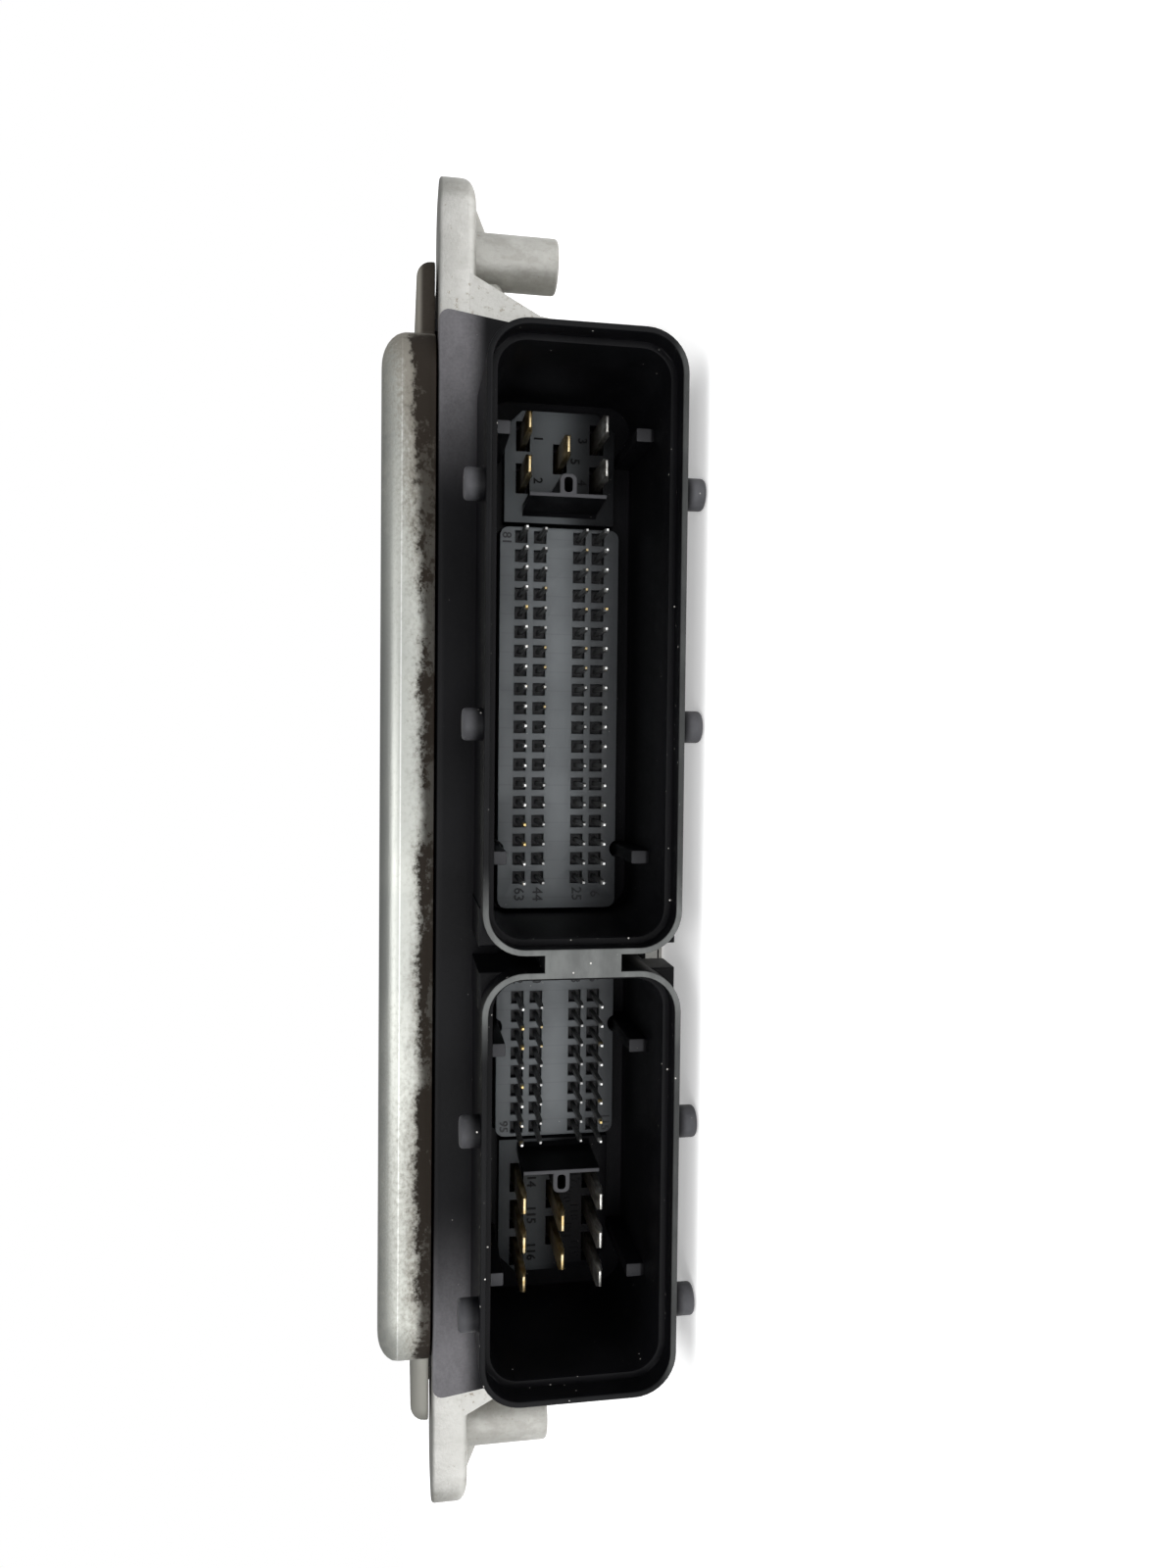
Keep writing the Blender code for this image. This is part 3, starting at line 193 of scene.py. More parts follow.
def runs_along(edge, axis):
    way = (edge.verts[1].co - edge.verts[0].co).normalized()
    return abs(way[AXIS[axis]]) > 0.98


def is_sharp(edge, degrees=60):
    return len(edge.link_faces) == 2 and edge.calc_face_angle() > math.radians(degrees)


def round_edges(piece, wanted, radius, segments=3):
    """Bevel the wanted edges of a piece to a radius."""
    count = choose(piece, wanted)
    if count:
        bpy.ops.mesh.bevel(offset=radius * MM, segments=segments, affect="EDGES")
    done()
    return count


def rounded_block(name, x, y, z, axis, radius, segments=8):
    """Block whose four edges along one axis are rounded."""
    piece = block(name, x, y, z)
    round_edges(piece, lambda edge: runs_along(edge, axis), radius, segments)
    return piece


# %% [markdown]
# ## Shaping what was picked
# Four more tools work on a selection. Drawing in scales corners or faces about a point, as a taper or a
# draft angle needs. Pushing moves corners, pulling out extrudes faces, and splitting cuts a piece's faces
# in two, so that each part can then be shaped by itself.

# %% Draw in, push, pull out and split
def draw_in(piece, wanted, shares, centre, kind="VERT"):
    """Scale the wanted corners or faces about a point."""
    choose(piece, wanted, kind)
    bpy.ops.transform.resize(value=shares, center_override=[place * MM for place in centre])
    done()


def push(piece, wanted, x=0.0, z=0.0):
    """Move the wanted corners."""
    choose(piece, wanted, "VERT")
    bpy.ops.transform.translate(value=(x * MM, 0, z * MM))
    done()


def pull_out(piece, wanted, y=0.0, z=0.0, shares=None, centre=(0, 0, 0)):
    """Extrude the wanted faces and, where shares are given, scale the new ends about a point."""
    choose(piece, wanted, "FACE")
    bpy.ops.mesh.extrude_region_move(TRANSFORM_OT_translate={"value": (0, y * MM, z * MM)})
    if shares:
        bpy.ops.transform.resize(value=shares, center_override=[place * MM for place in centre])
    done()


def split(piece, y):
    """Cut a piece's faces in two at a place along Y."""
    choose(piece, lambda face: True, "FACE")
    bpy.ops.mesh.bisect(plane_co=(0, y * MM, 0), plane_no=(0, 1, 0))
    done()


# %% [markdown]
# ## Joining and carving
# Forms that a mould makes in one go are joined by a Boolean modifier, and hollows are carved by one. It is
# applied at once, because the next step picks edges of the result. Extruding each form out of one mesh
# would also work, but overlapping solids with exact places keep the walls' thicknesses readable.

# %% Boolean helpers
def gathered(pieces):
    """One object of several that don't meet."""
    only(*pieces)
    bpy.ops.object.join()
    return pieces[0]


def boolean(piece, tools, operation):
    tool = gathered(tools) if len(tools) > 1 else tools[0]
    modifier = piece.modifiers.new("boolean", "BOOLEAN")
    modifier.operation = operation
    modifier.object = tool
    modifier.solver = "EXACT"
    only(piece)
    bpy.ops.object.modifier_apply(modifier="boolean")
    bpy.data.objects.remove(tool)


def fuse(piece, *tools):
    boolean(piece, tools, "UNION")


def carve(piece, *tools):
    boolean(piece, tools, "DIFFERENCE")


def copied(piece, name, x=0.0, y=0.0, z=0.0):
    """Copy of a piece with its own mesh, moved by millimetres."""
    only(piece)
    bpy.ops.object.duplicate()
    bpy.ops.transform.translate(value=(x * MM, y * MM, z * MM))
    return settled(name)


def complete(piece, slot, *stands_for):
    """Shade a piece, tie it to the unit and hide the measured solids that it stands for."""
    only(piece)
    bpy.ops.object.shade_smooth_by_angle(angle=math.radians(32))
    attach(piece, "root")
    if stands_for:
        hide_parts(*stands_for)
    print(piece.name, len(piece.data.polygons), "faces")


# %% [markdown]
# ## The header's shell
# The header is one moulding: a flange that closes the tray's front, two deep shrouds and a box behind them.
# A mould's walls lean a little and have round corners. Each shroud is a block with rounded long edges, and
# the flange's lower edge is drawn in, because the tray's end walls lean. Sketching outlines and filling
# them would give the same, but blocks show which sizes matter. The values below are the header's levels
# along Y, from the mouth to the rear, and its lower side, middle and upper side along Z. Forms that are
# joined reach an overlap into each other.

# %% Flange, rear box and shrouds
FRONT = -71.35
FLANGE_FRONT = -55.65
FLANGE_BACK = -52.65
HEADER_BACK = -43.65
PIN_PLANE = -48.65
MOAT = -45.65
POWER_FLOOR = -47.75
LOW, MID, HIGH = 2.4, 14.1, 25.8
SOCKETS = {"large": (-9.8, 62.6), "small": (-62.7, -11.8)}
SHROUD_RADIUS = 5.0
FLANGE_X, FLANGE_Z = (-70.4, 69.2), (4.2, 30.6)
FLANGE_TAPER = 65.84 / 69.8
OVERLAP = 0.5

header = block("header_shell", FLANGE_X, (FLANGE_FRONT, FLANGE_BACK), FLANGE_Z)
draw_in(header, lambda corner: middle(corner).z < 5, (FLANGE_TAPER, 1, 1), (centre_of(FLANGE_X), 0, 0))
round_edges(header, lambda edge: runs_along(edge, "Y") and middle(edge).z > 20, 1.5, 5)
round_edges(header, lambda edge: runs_along(edge, "Y") and middle(edge).z < 5, 0.8, 3)
round_edges(header, lambda edge: lies_at(edge, "Y", FLANGE_FRONT), 0.35, 2)

rear_y = (FLANGE_FRONT + OVERLAP, HEADER_BACK)
fuse(header, rounded_block("rear_box", (-62.0, 61.9), rear_y, (3.1, 25.1), "Y", 4.3))
shroud_y = (FRONT, FLANGE_BACK - OVERLAP)
for ends in SOCKETS.values():
    fuse(header, rounded_block("shroud", ends, shroud_y, (LOW, HIGH), "Y", SHROUD_RADIUS, 10))
print("header shell:", len(header.data.polygons), "faces")

# %% [markdown]
# ## Bridge, corner blocks and lugs
# A flat bridge ties the two shrouds together, and square blocks behind their rounded corners take the
# plug's guides. Round lugs on both long sides are what the plug's lever draws on. The lugs are drums with
# rounded tips: one is modelled for each long side and copied to its four places.

# %% Outer details of the header
BRIDGE_X, BRIDGE_HALF = (-12.3, -9.3), 4.5
GUIDE_WIDTH, GUIDE_PROUD = 4.6, 0.15
GUIDE_FRONT = FRONT + 4
on_flange = FLANGE_FRONT + OVERLAP
fuse(header, block("bridge", BRIDGE_X, (FRONT, on_flange), around(MID, BRIDGE_HALF)))
for inner, side in ((SOCKETS["large"][0], 1), (SOCKETS["small"][1], -1)):
    near = inner + side * 0.5
    reach = near + side * GUIDE_WIDTH
    guide_z = (LOW - GUIDE_PROUD, HIGH + GUIDE_PROUD)
    guide = block("guide", (near, reach), (GUIDE_FRONT, GUIDE_FRONT + 6), guide_z)
    round_edges(guide, lambda edge: lies_at(edge, "Y", GUIDE_FRONT), 0.25, 2)
    fuse(header, guide)
    rail = block("rail", (near, reach), (GUIDE_FRONT + 5, on_flange), (MID, HIGH + GUIDE_PROUD))
    fuse(header, rail)

LUG_X = (44.2, 16.8, -30.6, -52.35)
LUG_Y, LUG_WIDTH, LUG_LENGTH, LUG_ROOT = FRONT + 2.4, 3.8, 2.4, 0.4
lugs = []
for root, tip in ((LOW + LUG_ROOT, LOW - LUG_LENGTH), (HIGH - LUG_ROOT, HIGH + LUG_LENGTH)):
    lug = drum("lug", (LUG_X[0], LUG_Y), LUG_WIDTH, min(root, tip), max(root, tip))
    round_edges(lug, lambda edge: lies_at(edge, "Z", tip), 0.45, 3)
    lugs.append(lug)
    for x in LUG_X[1:]:
        lugs.append(copied(lug, "lug", x - LUG_X[0]))
fuse(header, *lugs)
print("lugs:", len(lugs))

# %% [markdown]
# ## Hollowing the sockets
# The wall is thin at the mouth, where the plug's seal slides in, and thicker behind a small step. The deep
# pocket narrows towards its floor so that the moulding leaves its tool. The carving tool is a rounded block
# whose rear corners are drawn in, as the real mould's core is.

# %% Mouths and tapered pockets
MOUTH_WALL, MOUTH_DEPTH = 0.7, 3
POCKET_WALL, DRAFT = 1.5, 0.2


def core(name, ends, wall, y):
    """Block that hollows a shroud and leaves a wall of this thickness."""
    x = (ends[0] + wall, ends[1] - wall)
    return rounded_block(name, x, y, (LOW + wall, HIGH - wall), "Y", SHROUD_RADIUS - wall, 10)


for socket, ends in SOCKETS.items():
    carve(header, core("mouth", ends, MOUTH_WALL, (FRONT - 1, FRONT + MOUTH_DEPTH)))
    pocket = core("pocket", ends, POCKET_WALL, (FRONT + 2, MOAT))
    length = ends[1] - ends[0] - 2 * POCKET_WALL
    height = HIGH - LOW - 2 * POCKET_WALL
    shares = ((length - 2 * DRAFT) / length, 1, (height - 2 * DRAFT) / height)
    draw_in(pocket, lambda corner: middle(corner).y > MOAT - 1, shares, (centre_of(ends), 0, MID))
    carve(header, pocket)
    inset = POCKET_WALL - 0.1
    step = round_edges(
        header, lambda edge: lies_at(edge, "Y", FRONT + MOUTH_DEPTH) and is_sharp(edge) and (
            ends[0] + inset < middle(edge).x < ends[1] - inset) and (
            LOW + inset < middle(edge).z < HIGH - inset), 0.2, 2)
    print(socket, "socket: step edges", step)
rim = round_edges(header, lambda edge: lies_at(edge, "Y", FRONT) and is_sharp(edge), 0.16, 3)
print("rim edges rounded:", rim)

# %% [markdown]
# ## Ribs, power floors and keys
# Inside, eight ribs guide the plug's shell. The power blades stand on two raised floors, beside a thin
# cross wall with a slotted boss that keeps the wrong plug out. The cross wall is a block cut in two by a
# bisect, so that its upper part can be drawn thinner than its foot.

# %% Ribs and floors
RIB_X = (53.4, 0.4, -23.7, -52.8)
RIB_HALF, RIB_HEIGHT = 0.85, 2.1
RIB_FRONT = FRONT + 11.2
WALL = POCKET_WALL + DRAFT
ribs = []
for x in RIB_X:
    for wall, inward in ((LOW + WALL, 1), (HIGH - WALL, -1)):
        tip = wall + inward * RIB_HEIGHT
        rib = block("rib", around(x, RIB_HALF), (RIB_FRONT, MOAT + OVERLAP), (wall - inward * OVERLAP, tip))
        round_edges(rib, lambda edge: lies_at(edge, "Z", tip) or lies_at(edge, "Y", RIB_FRONT), 0.18, 2)
        ribs.append(rib)

POWER_X = {"large": (44.3, 59.3), "small": (-57.9, -39.5)}
POWER_HALF, POWER_CORNER = 7.5, 2.4
for ends in POWER_X.values():
    floor = block("power_floor", ends, (POWER_FLOOR, MOAT + OVERLAP), around(MID, POWER_HALF))
    outer = max(ends, key=abs)
    round_edges(floor, lambda edge: runs_along(edge, "Y") and abs(middle(edge).x - outer) < 0.1,
                POWER_CORNER, 1)
    round_edges(floor, lambda edge: lies_at(edge, "Y", POWER_FLOOR), 0.15, 2)
    fuse(header, floor)
print("ribs:", len(ribs))

# %% Cross walls and slotted bosses
KEY_TOP = POWER_FLOOR - 8.2
KEY_FOOT = POWER_FLOOR - 0.6
KEY_HALF, KEY_THICK = 5, 2.0
BOSS_HALF, BOSS_REACH = 1.1, 2.5
KEYS = ((46.7, 1), (-41.4, -1))
for foot, side in KEYS:
    key_y = (KEY_TOP, POWER_FLOOR + OVERLAP)
    wall = block("cross_wall", (foot - side * KEY_THICK, foot), key_y, around(MID, KEY_HALF))
    split(wall, KEY_FOOT)
    for level, move in ((KEY_FOOT, 1.0), (KEY_TOP, 1.5)):
        push(wall, lambda corner: abs(middle(corner).y - level) < 0.05 and (
            abs(middle(corner).x - foot) > KEY_THICK - 0.1), x=side * move)
    round_edges(wall, lambda edge: lies_at(edge, "Y", KEY_TOP), 0.12, 2)
    boss = block("boss", (foot - side * 0.3, foot + side * BOSS_REACH), key_y, around(MID, BOSS_HALF))
    round_edges(boss, lambda edge: runs_along(edge, "Y") and abs(middle(edge).x - foot) > 2, 0.75, 4)
    round_edges(boss, lambda edge: lies_at(edge, "Y", KEY_TOP), 0.1, 1)
    fuse(wall, boss)
    slot_x = (foot + side * 0.1, foot + side * (BOSS_REACH - 0.45))
    slot = rounded_block("slot", slot_x, (KEY_TOP - 1, KEY_TOP + 6), around(MID, BOSS_HALF / 2), "Y", 0.45, 5)
    carve(wall, slot)
    fuse(header, wall)
print("cross walls:", len(KEYS))

# %% [markdown]
# ## Openings in the header's floor
# Each pin carrier sits in a window, and each power blade comes up in its own recess. The recess is wider
# than the blade, so it reads as a dark frame around it, and only a narrow slot goes on to the rear. The
# ribs are fused last: their thin bevels don't survive a later Boolean unharmed.

# %% Windows and blade recesses
CARRIER_X = {"large": (-7.6, 43.6), "small": (-38.8, -14.0)}
CARRIER_Z = around(MID, 8.05)
FIT = 0.3
BLADE_HEIGHT = {"large": 8.0, "small": 9.7}
BLADE_PLACES = {
    "large_outer": [(55.8, 5), (50.2, 5), (55.8, -5), (50.2, -5)],
    "large_middle": [(53.0, 0)],
    "small_outer": [(-44.8, 5), (-49.9, 5), (-55.0, 5), (-44.8, -5), (-49.9, -5), (-55.0, -5)],
    "small_middle": [(-47.35, 0), (-52.45, 0)],
}
BLADES = {}
for kind, places in BLADE_PLACES.items():
    for x, offset in places:
        name = f"blade_{kind}_{len(BLADES) + 1:02d}"
        BLADES[name] = (x, MID + offset, BLADE_HEIGHT[kind.split("_")[0]])

behind = HEADER_BACK + OVERLAP
window_z = (CARRIER_Z[0] - FIT, CARRIER_Z[1] + FIT)
for low, high in CARRIER_X.values():
    window_x = (low - FIT, high + FIT)
    carve(header, rounded_block("window", window_x, (MOAT - OVERLAP, behind), window_z, "Y", 1.4, 3))
recesses = []
slots = []
for x, z, _ in BLADES.values():
    recess_y = (POWER_FLOOR - OVERLAP, POWER_FLOOR + 2.6)
    recesses.append(block("recess", around(x, 2.0), recess_y, around(z, 0.95)))
    slots.append(block("slot", around(x, 1.55), (POWER_FLOOR + 2, behind), around(z, 0.55)))
carve(header, *recesses)
carve(header, *slots)
fuse(header, *ribs)
complete(header, "header_plastic", "header_body")

# %% [markdown]
# ## Pin carriers
# The signal pins are set in two grey carriers that were moulded apart from the header. Every pin stands in
# a square recess of its own. Carving a grid of little blocks is the plain way; insetting the faces of a
# grid would need the rows to be evenly spaced, and they aren't: a wide strip is left in the middle.

# %% Plates with their recesses
PITCH = 2.54
ROW_Z = (MID + 5.2, MID + 2.67, MID - 2.67, MID - 5.2)
PIN_X = {
    "large": [42.3 - PITCH * step for step in range(19)],
    "small": [-37.5 + PITCH * step for step in range(8)],
}
RECESS_HALF, RECESS_DEPTH = 0.82, 1.3
plates = {}
for socket, (low, high) in CARRIER_X.items():
    plate = rounded_block("carrier_" + socket, (low, high), (PIN_PLANE, HEADER_BACK), CARRIER_Z, "Y", 1.2, 5)
    first_x, first_z = PIN_X[socket][0], ROW_Z[0]
    recess_y = (PIN_PLANE - OVERLAP, PIN_PLANE + RECESS_DEPTH)
    first = block("recess", around(first_x, RECESS_HALF), recess_y, around(first_z, RECESS_HALF))
    tools = [first]
    for x in PIN_X[socket]:
        for z in ROW_Z:
            if (x, z) != (first_x, first_z):
                tools.append(copied(first, "recess", x - first_x, 0, z - first_z))
    carve(plate, *tools)
    notches = []
    for x in RIB_X:
        if low < x < high:
            for z in (CARRIER_Z[0] - 0.4, CARRIER_Z[1] + 0.4):
                notches.append(drum("notch", (x, z), 2.4, PIN_PLANE - OVERLAP, MOAT + OVERLAP, "Y", 20))
    carve(plate, *notches)
    edges = round_edges(plate, lambda edge: lies_at(edge, "Y", PIN_PLANE) and is_sharp(edge), 0.1, 2)
    plates[socket] = plate
    print(socket, "carrier:", len(tools), "recesses,", edges, "edges rounded")

# %% [markdown]
# ## Signal pins
# A pin is a square wire with a tapered tip. One is made: its end face is extruded and drawn in, and its
# long edges are taken off. It is copied to every place, and each socket's pins are joined in one piece,
# because there are over a hundred and each needs only a few dozen faces.

# %% One pin, copied
PIN_HALF, PIN_TIP = 0.3, 0.9
PIN_HEIGHTS = (7.1, 6.4, 6.4, 7.1)


def signal_pin(x, z, height):
    body = (PIN_PLANE - height + PIN_TIP, PIN_PLANE + 1.4)
    pin = block("pin", around(x, PIN_HALF), body, around(z, PIN_HALF))
    round_edges(pin, lambda edge: runs_along(edge, "Y"), 0.06, 1)
    pull_out(pin, lambda face: face.normal.y < -0.9, y=-PIN_TIP, shares=(0.45, 1, 0.45), centre=(x, 0, z))
    return pin


for socket, places in PIN_X.items():
    wires = []
    for z, height in zip(ROW_Z, PIN_HEIGHTS):
        first = signal_pin(places[0], z, height)
        wires.append(first)
        for x in places[1:]:
            wires.append(copied(first, "pin", x - places[0]))
    count = len(wires)
    field = gathered(wires)
    field.name = "signal_pins_" + socket
    complete(field, "blade_metal", "pin_carrier_" + socket)
    print(count, "pins")

# %% [markdown]
# ## Moulded numbers
# Small raised numbers beside the rows tell which pin is which, as on any such plug. A text object gives
# their strokes, and it is made a mesh before its place is applied. That mesh's faces come apart from its
# sides, so close points are merged. The numbers are joined to the plates and not fused, because a Boolean
# doesn't handle such small strokes well.

# %% Numbers on the carriers and floors
def number(text, x, z, y, size):
    """Raised number that reads towards -X and stands on a floor at y."""
    bpy.ops.object.select_all(action="DESELECT")
    bpy.ops.object.text_add(location=(x * MM, (y - 0.05) * MM, z * MM))
    piece = bpy.context.object
    piece.data.body = text
    piece.data.size = size * MM
    piece.data.align_x = "CENTER"
    piece.data.align_y = "CENTER"
    piece.data.extrude = 0.06 * MM
    piece.data.offset = 0.03 * MM
    piece.data.resolution_u = 2
    turn = Matrix(((-1, 0, 0), (0, 0, -1), (0, -1, 0))).to_4x4()
    piece.matrix_world = Matrix.Translation(piece.location) @ turn
    bpy.ops.object.convert(target="MESH")
    piece = settled("number")
    choose(piece, lambda corner: True, "VERT")
    bpy.ops.mesh.remove_doubles(threshold=0.001 * MM)
    done()
    return piece


large = [(text, -5.7, z, 1.9) for text, z in zip(("63", "44", "25", "6"), ROW_Z)]
large.append(("81", 42.0, MID + 7.2, 1.7))
small = [(text, -17.4, z, 1.9) for text, z in zip(("2", "0", "8", "6"), ROW_Z)]
small += [("95", -37.4, MID + 7.0, 1.6), ("115", -37.4, MID - 7.0, 1.6)]
for socket, labels in (("large", large), ("small", small)):
    marks = [number(text, x, z, PIN_PLANE, size) for text, x, z, size in labels]
    gathered([plates[socket], *marks])
    complete(plates[socket], "carrier_plastic", "pin_carrier_" + socket)

SMALL_START = 108
marks = []
for count, (name, (x, z, _)) in enumerate(BLADES.items(), 1):
    label = str(count) if "large" in name else str(SMALL_START + count)
    below = 2.0 if z > MID - 1 else -2.0
    marks.append(number(label, x - 0.2, z - below, POWER_FLOOR, 1.7))
floor_numbers = gathered(marks)
floor_numbers.name = "floor_numbers"
complete(floor_numbers, "header_plastic")

# %% [markdown]
# ## Power blades
# A blade is a stamped strip with a tapered tip that turns up behind the header to the circuit board. The
# strip is a block that a bisect splits at the bend, where its upper face is extruded upwards. Its tip's end
# face is drawn in, and the long edges are broken as a stamping tool leaves them.

# %% Thirteen blades
BOARD_UNDERSIDE = 22.6
BLADE_HALF, BLADE_THIN, BLADE_TIP = 1.4, 0.4, 1.0
ROW_STEP = 5
for name, (x, z, height) in BLADES.items():
    tip = POWER_FLOOR - height
    row = round((MID + ROW_STEP - z) / ROW_STEP)
    bend = HEADER_BACK + 1.6 + 1.8 * row
    strip_y = (tip + BLADE_TIP, bend + 2 * BLADE_THIN)
    blade = block(name + "_strip", around(x, BLADE_HALF), strip_y, around(z, BLADE_THIN))
    split(blade, bend)
    rise = BOARD_UNDERSIDE - z - BLADE_THIN
    pull_out(blade, lambda face: face.normal.z > 0.9 and middle(face).y > bend, z=rise)
    pull_out(blade, lambda face: face.normal.y < -0.9 and middle(face).y < bend - 1, y=-BLADE_TIP,
             shares=(0.72, 1, 0.4), centre=(x, 0, z))
    round_edges(blade, lambda edge: is_sharp(edge) and middle(edge).y < bend, 0.07, 2)
    complete(blade, "blade_metal", name)

# %% [markdown]
# ## The cast tray
# The tray is die-cast: a shallow tub whose walls widen to a flat rim with four ears, each with a bored post
# under it. Its outer wall starts as a thin slab and is extruded upwards level by level, each level drawn
# out as the mould's draft needs. Lofting between sketched outlines would give the same wall.

# %% The tub's outer wall
TRAY_FRONT, REAR = -52.35, 71.35
RIM_HALF = 79.0
RIM_LOW, RIM_TOP = 25.8, 30.5
TUB_RADIUS = 6.0


def raise_walls(piece, levels, front):
    """Extrude a slab's top upwards; each level gives a height, a half length and a rear edge."""
    for (below, old_half, old_rear), (height, half, rear) in zip(levels, levels[1:]):
        shares = (half / old_half, (rear - front) / (old_rear - front), 1)
        pull_out(piece, lambda face: face.normal.z > 0.9 and abs(middle(face).z - below) < 0.05,
                 z=height - below, shares=shares, centre=(0, front, 0))


def round_rear_corners(piece):
    """Round the leaning edges at both rear corners."""
    round_edges(piece, lambda edge: middle(edge).y > 50 and abs(middle(edge).x) > 60 and not (
        runs_along(edge, "X") or runs_along(edge, "Y")), TUB_RADIUS, 6)


levels = [(height, RIM_HALF - back, REAR - back) for height, back in ((0.6, 11.7), (17.5, 8.9), (26.6, 4.1))]
tray = block("cast_tray", around(0, levels[0][1]), (TRAY_FRONT, levels[0][2]), (0.0, levels[0][0]))
raise_walls(tray, levels, TRAY_FRONT)
round_rear_corners(tray)
round_edges(tray, lambda edge: lies_at(edge, "Z", 0.0), 0.8, 3)
print("tub:", len(tray.data.polygons), "faces")

# %% [markdown]
# ## Rim and ears
# The rim is a flat frame around the tub. An ear is round in plan, its underside curves up to its tip, and a
# fillet at its root ties it to the end wall. A Boolean can tear a mesh where two faces coincide or only
# touch. So the rim is a hair smaller than the ears, and the drum that cuts the fillet reaches a little into
# both walls.

# %% Rim with four ears
EAR_START, EAR_TIP, EAR_WIDTH = 60, 89, 15.6
CURVE_START, CURVE_RISE = 83.8, 3.5
FILLET, FILLET_CENTRE = 4.8, 4.72
HAIR = 0.02


def ear(side, front, inward):
    """Ear beyond an end wall, with its fillet on the side that inward points to along Y."""
    piece = block("ear", (side * EAR_START, side * EAR_TIP), (front, front + EAR_WIDTH), (RIM_LOW, RIM_TOP))
    round_edges(piece, lambda edge: runs_along(edge, "Z") and abs(middle(edge).x) > EAR_TIP - 1, 6.0, 10)
    for level, radius, segments in ((RIM_TOP, 0.45, 3), (RIM_LOW, 1.1, 5)):
        round_edges(piece, lambda edge: lies_at(edge, "Z", level) and abs(middle(edge).x) > EAR_START + 1,
                    radius, segments)
    below = block("below", (side * CURVE_START, side * (EAR_TIP + 1)), (front - 1, front + 17),
                  (RIM_LOW - 1, RIM_LOW + CURVE_RISE))
    curve = drum("curve", (0, RIM_LOW + CURVE_RISE), 2 * CURVE_RISE, front - 2, front + 18, "Y", 48)
    only(curve)
    bpy.ops.transform.resize(value=(1.5, 1, 1), center_override=(0, 0, 0))
    bpy.ops.transform.translate(value=(side * CURVE_START * MM, 0, 0))
    carve(below, settled("curve"))
    carve(piece, below)
    edge_y = front + EAR_WIDTH if inward > 0 else front
    root = block("root", (side * (RIM_HALF - OVERLAP), side * (RIM_HALF + FILLET)),
                 (edge_y - inward, edge_y + inward * FILLET), (RIM_LOW + 0.3, RIM_TOP - 0.2))
    centre = (side * (RIM_HALF + FILLET_CENTRE), edge_y + inward * FILLET_CENTRE)
    carve(root, drum("fillet", centre, 2 * FILLET, RIM_LOW, RIM_TOP + 1, "Z", 48))
    fuse(piece, root)
    return piece


rim_top = RIM_TOP - HAIR
rim = block("rim", around(0, RIM_HALF), (TRAY_FRONT + 5, REAR - HAIR), (RIM_LOW + HAIR, rim_top))
round_edges(rim, lambda edge: lies_at(edge, "Z", rim_top) and middle(edge).y > TRAY_FRONT + 6, 0.45, 3)
for side in (-1, 1):
    fuse(rim, ear(side, TRAY_FRONT, 1))
    fuse(rim, ear(side, REAR - EAR_WIDTH, -1))
fuse(tray, rim)
print("tray with its rim:", len(tray.data.polygons), "faces")

# %% [markdown]
# ## Posts and webs
# Each ear stands on a round post that takes the vehicle's screw. A thin web runs from the post to the wall
# and another out to the ear's tip, so that the ear can't bend. The post is a drum with a rounded lower end,
# and a web is a block whose lower edge is pushed up at one end.

# %% Four posts
POST_LOW, POST_WIDTH = 14.4, 7.2
WEB_HALF = 1.25
POSTS = [(side * 79.9, y, side) for side in (-1, 1) for y in (-44.15, 63.15)]


def web(near, far, y, near_z, far_z):
    """Thin rib under the rim whose lower edge climbs from one height to another."""
    rib = block("web", (near, far), around(y, WEB_HALF), (near_z, RIM_LOW + OVERLAP))
    halfway = (abs(near) + abs(far)) / 2
    push(rib, lambda corner: abs(middle(corner).x) > halfway and middle(corner).z < near_z + 0.1,
         z=far_z - near_z)
    round_edges(rib, lambda edge: middle(edge).z < RIM_LOW - 0.1 and not runs_along(edge, "Y"), 0.5, 3)
    return rib


for x, y, side in POSTS:
    post = drum("post", (x, y), POST_WIDTH, POST_LOW, RIM_LOW + OVERLAP, "Z", 48)
    round_edges(post, lambda edge: lies_at(edge, "Z", POST_LOW), 0.5, 3)
    fuse(tray, post)
    fuse(tray, web(side * 69.4, x, y, 17.3, 24.4))
    fuse(tray, web(x, side * 87.2, y, 22.7, 25.7))
print("posts:", len(POSTS))

# %% [markdown]
# ## The tray's hollow
# The hollow is open at the top and at the front. A ledge at its rear carries the power drivers' heat away,
# four bosses carry the board, and a groove in the rim holds the lid's seal.

# %% Hollow, ledge, bosses and grooves
CAVITY_FLOOR, CAVITY_HALF, CAVITY_REAR = 2.5, 63.6, REAR - 15.0
cavity_front = TRAY_FRONT - OVERLAP
levels = [(CAVITY_FLOOR + 0.5, CAVITY_HALF, CAVITY_REAR), (31.0, CAVITY_HALF + 4.2, REAR - 10.8)]
cavity = block("cavity", around(0, CAVITY_HALF), (cavity_front, CAVITY_REAR), (CAVITY_FLOOR, levels[0][0]))
raise_walls(cavity, levels, cavity_front)
round_rear_corners(cavity)
LID_SCREWS = [(side * 73.9, y) for side in (-1, 1) for y in (-39.15, 7.9, 54.95)]
for place in LID_SCREWS:
    fuse(tray, drum("pad", place, 5.4, RIM_TOP - OVERLAP, 31.8, "Z", 28))
carve(tray, cavity)
fuse(tray, block("cooling_ledge", (-50, 50), (38.0, 58.7), (2.0, 18.6)))
BOARD_SCREWS = [(side * 59.06, y) for side in (-1, 1) for y in (-33.05, 48.95)]
for place in BOARD_SCREWS:
    fuse(tray, drum("boss", place, 7.0, 2.0, BOARD_UNDERSIDE, "Z", 28))
groove = rounded_block("groove", (-71.2, 71.2), (-45.5, 63.55), (29.5, 31.5), "Z", 7.0)
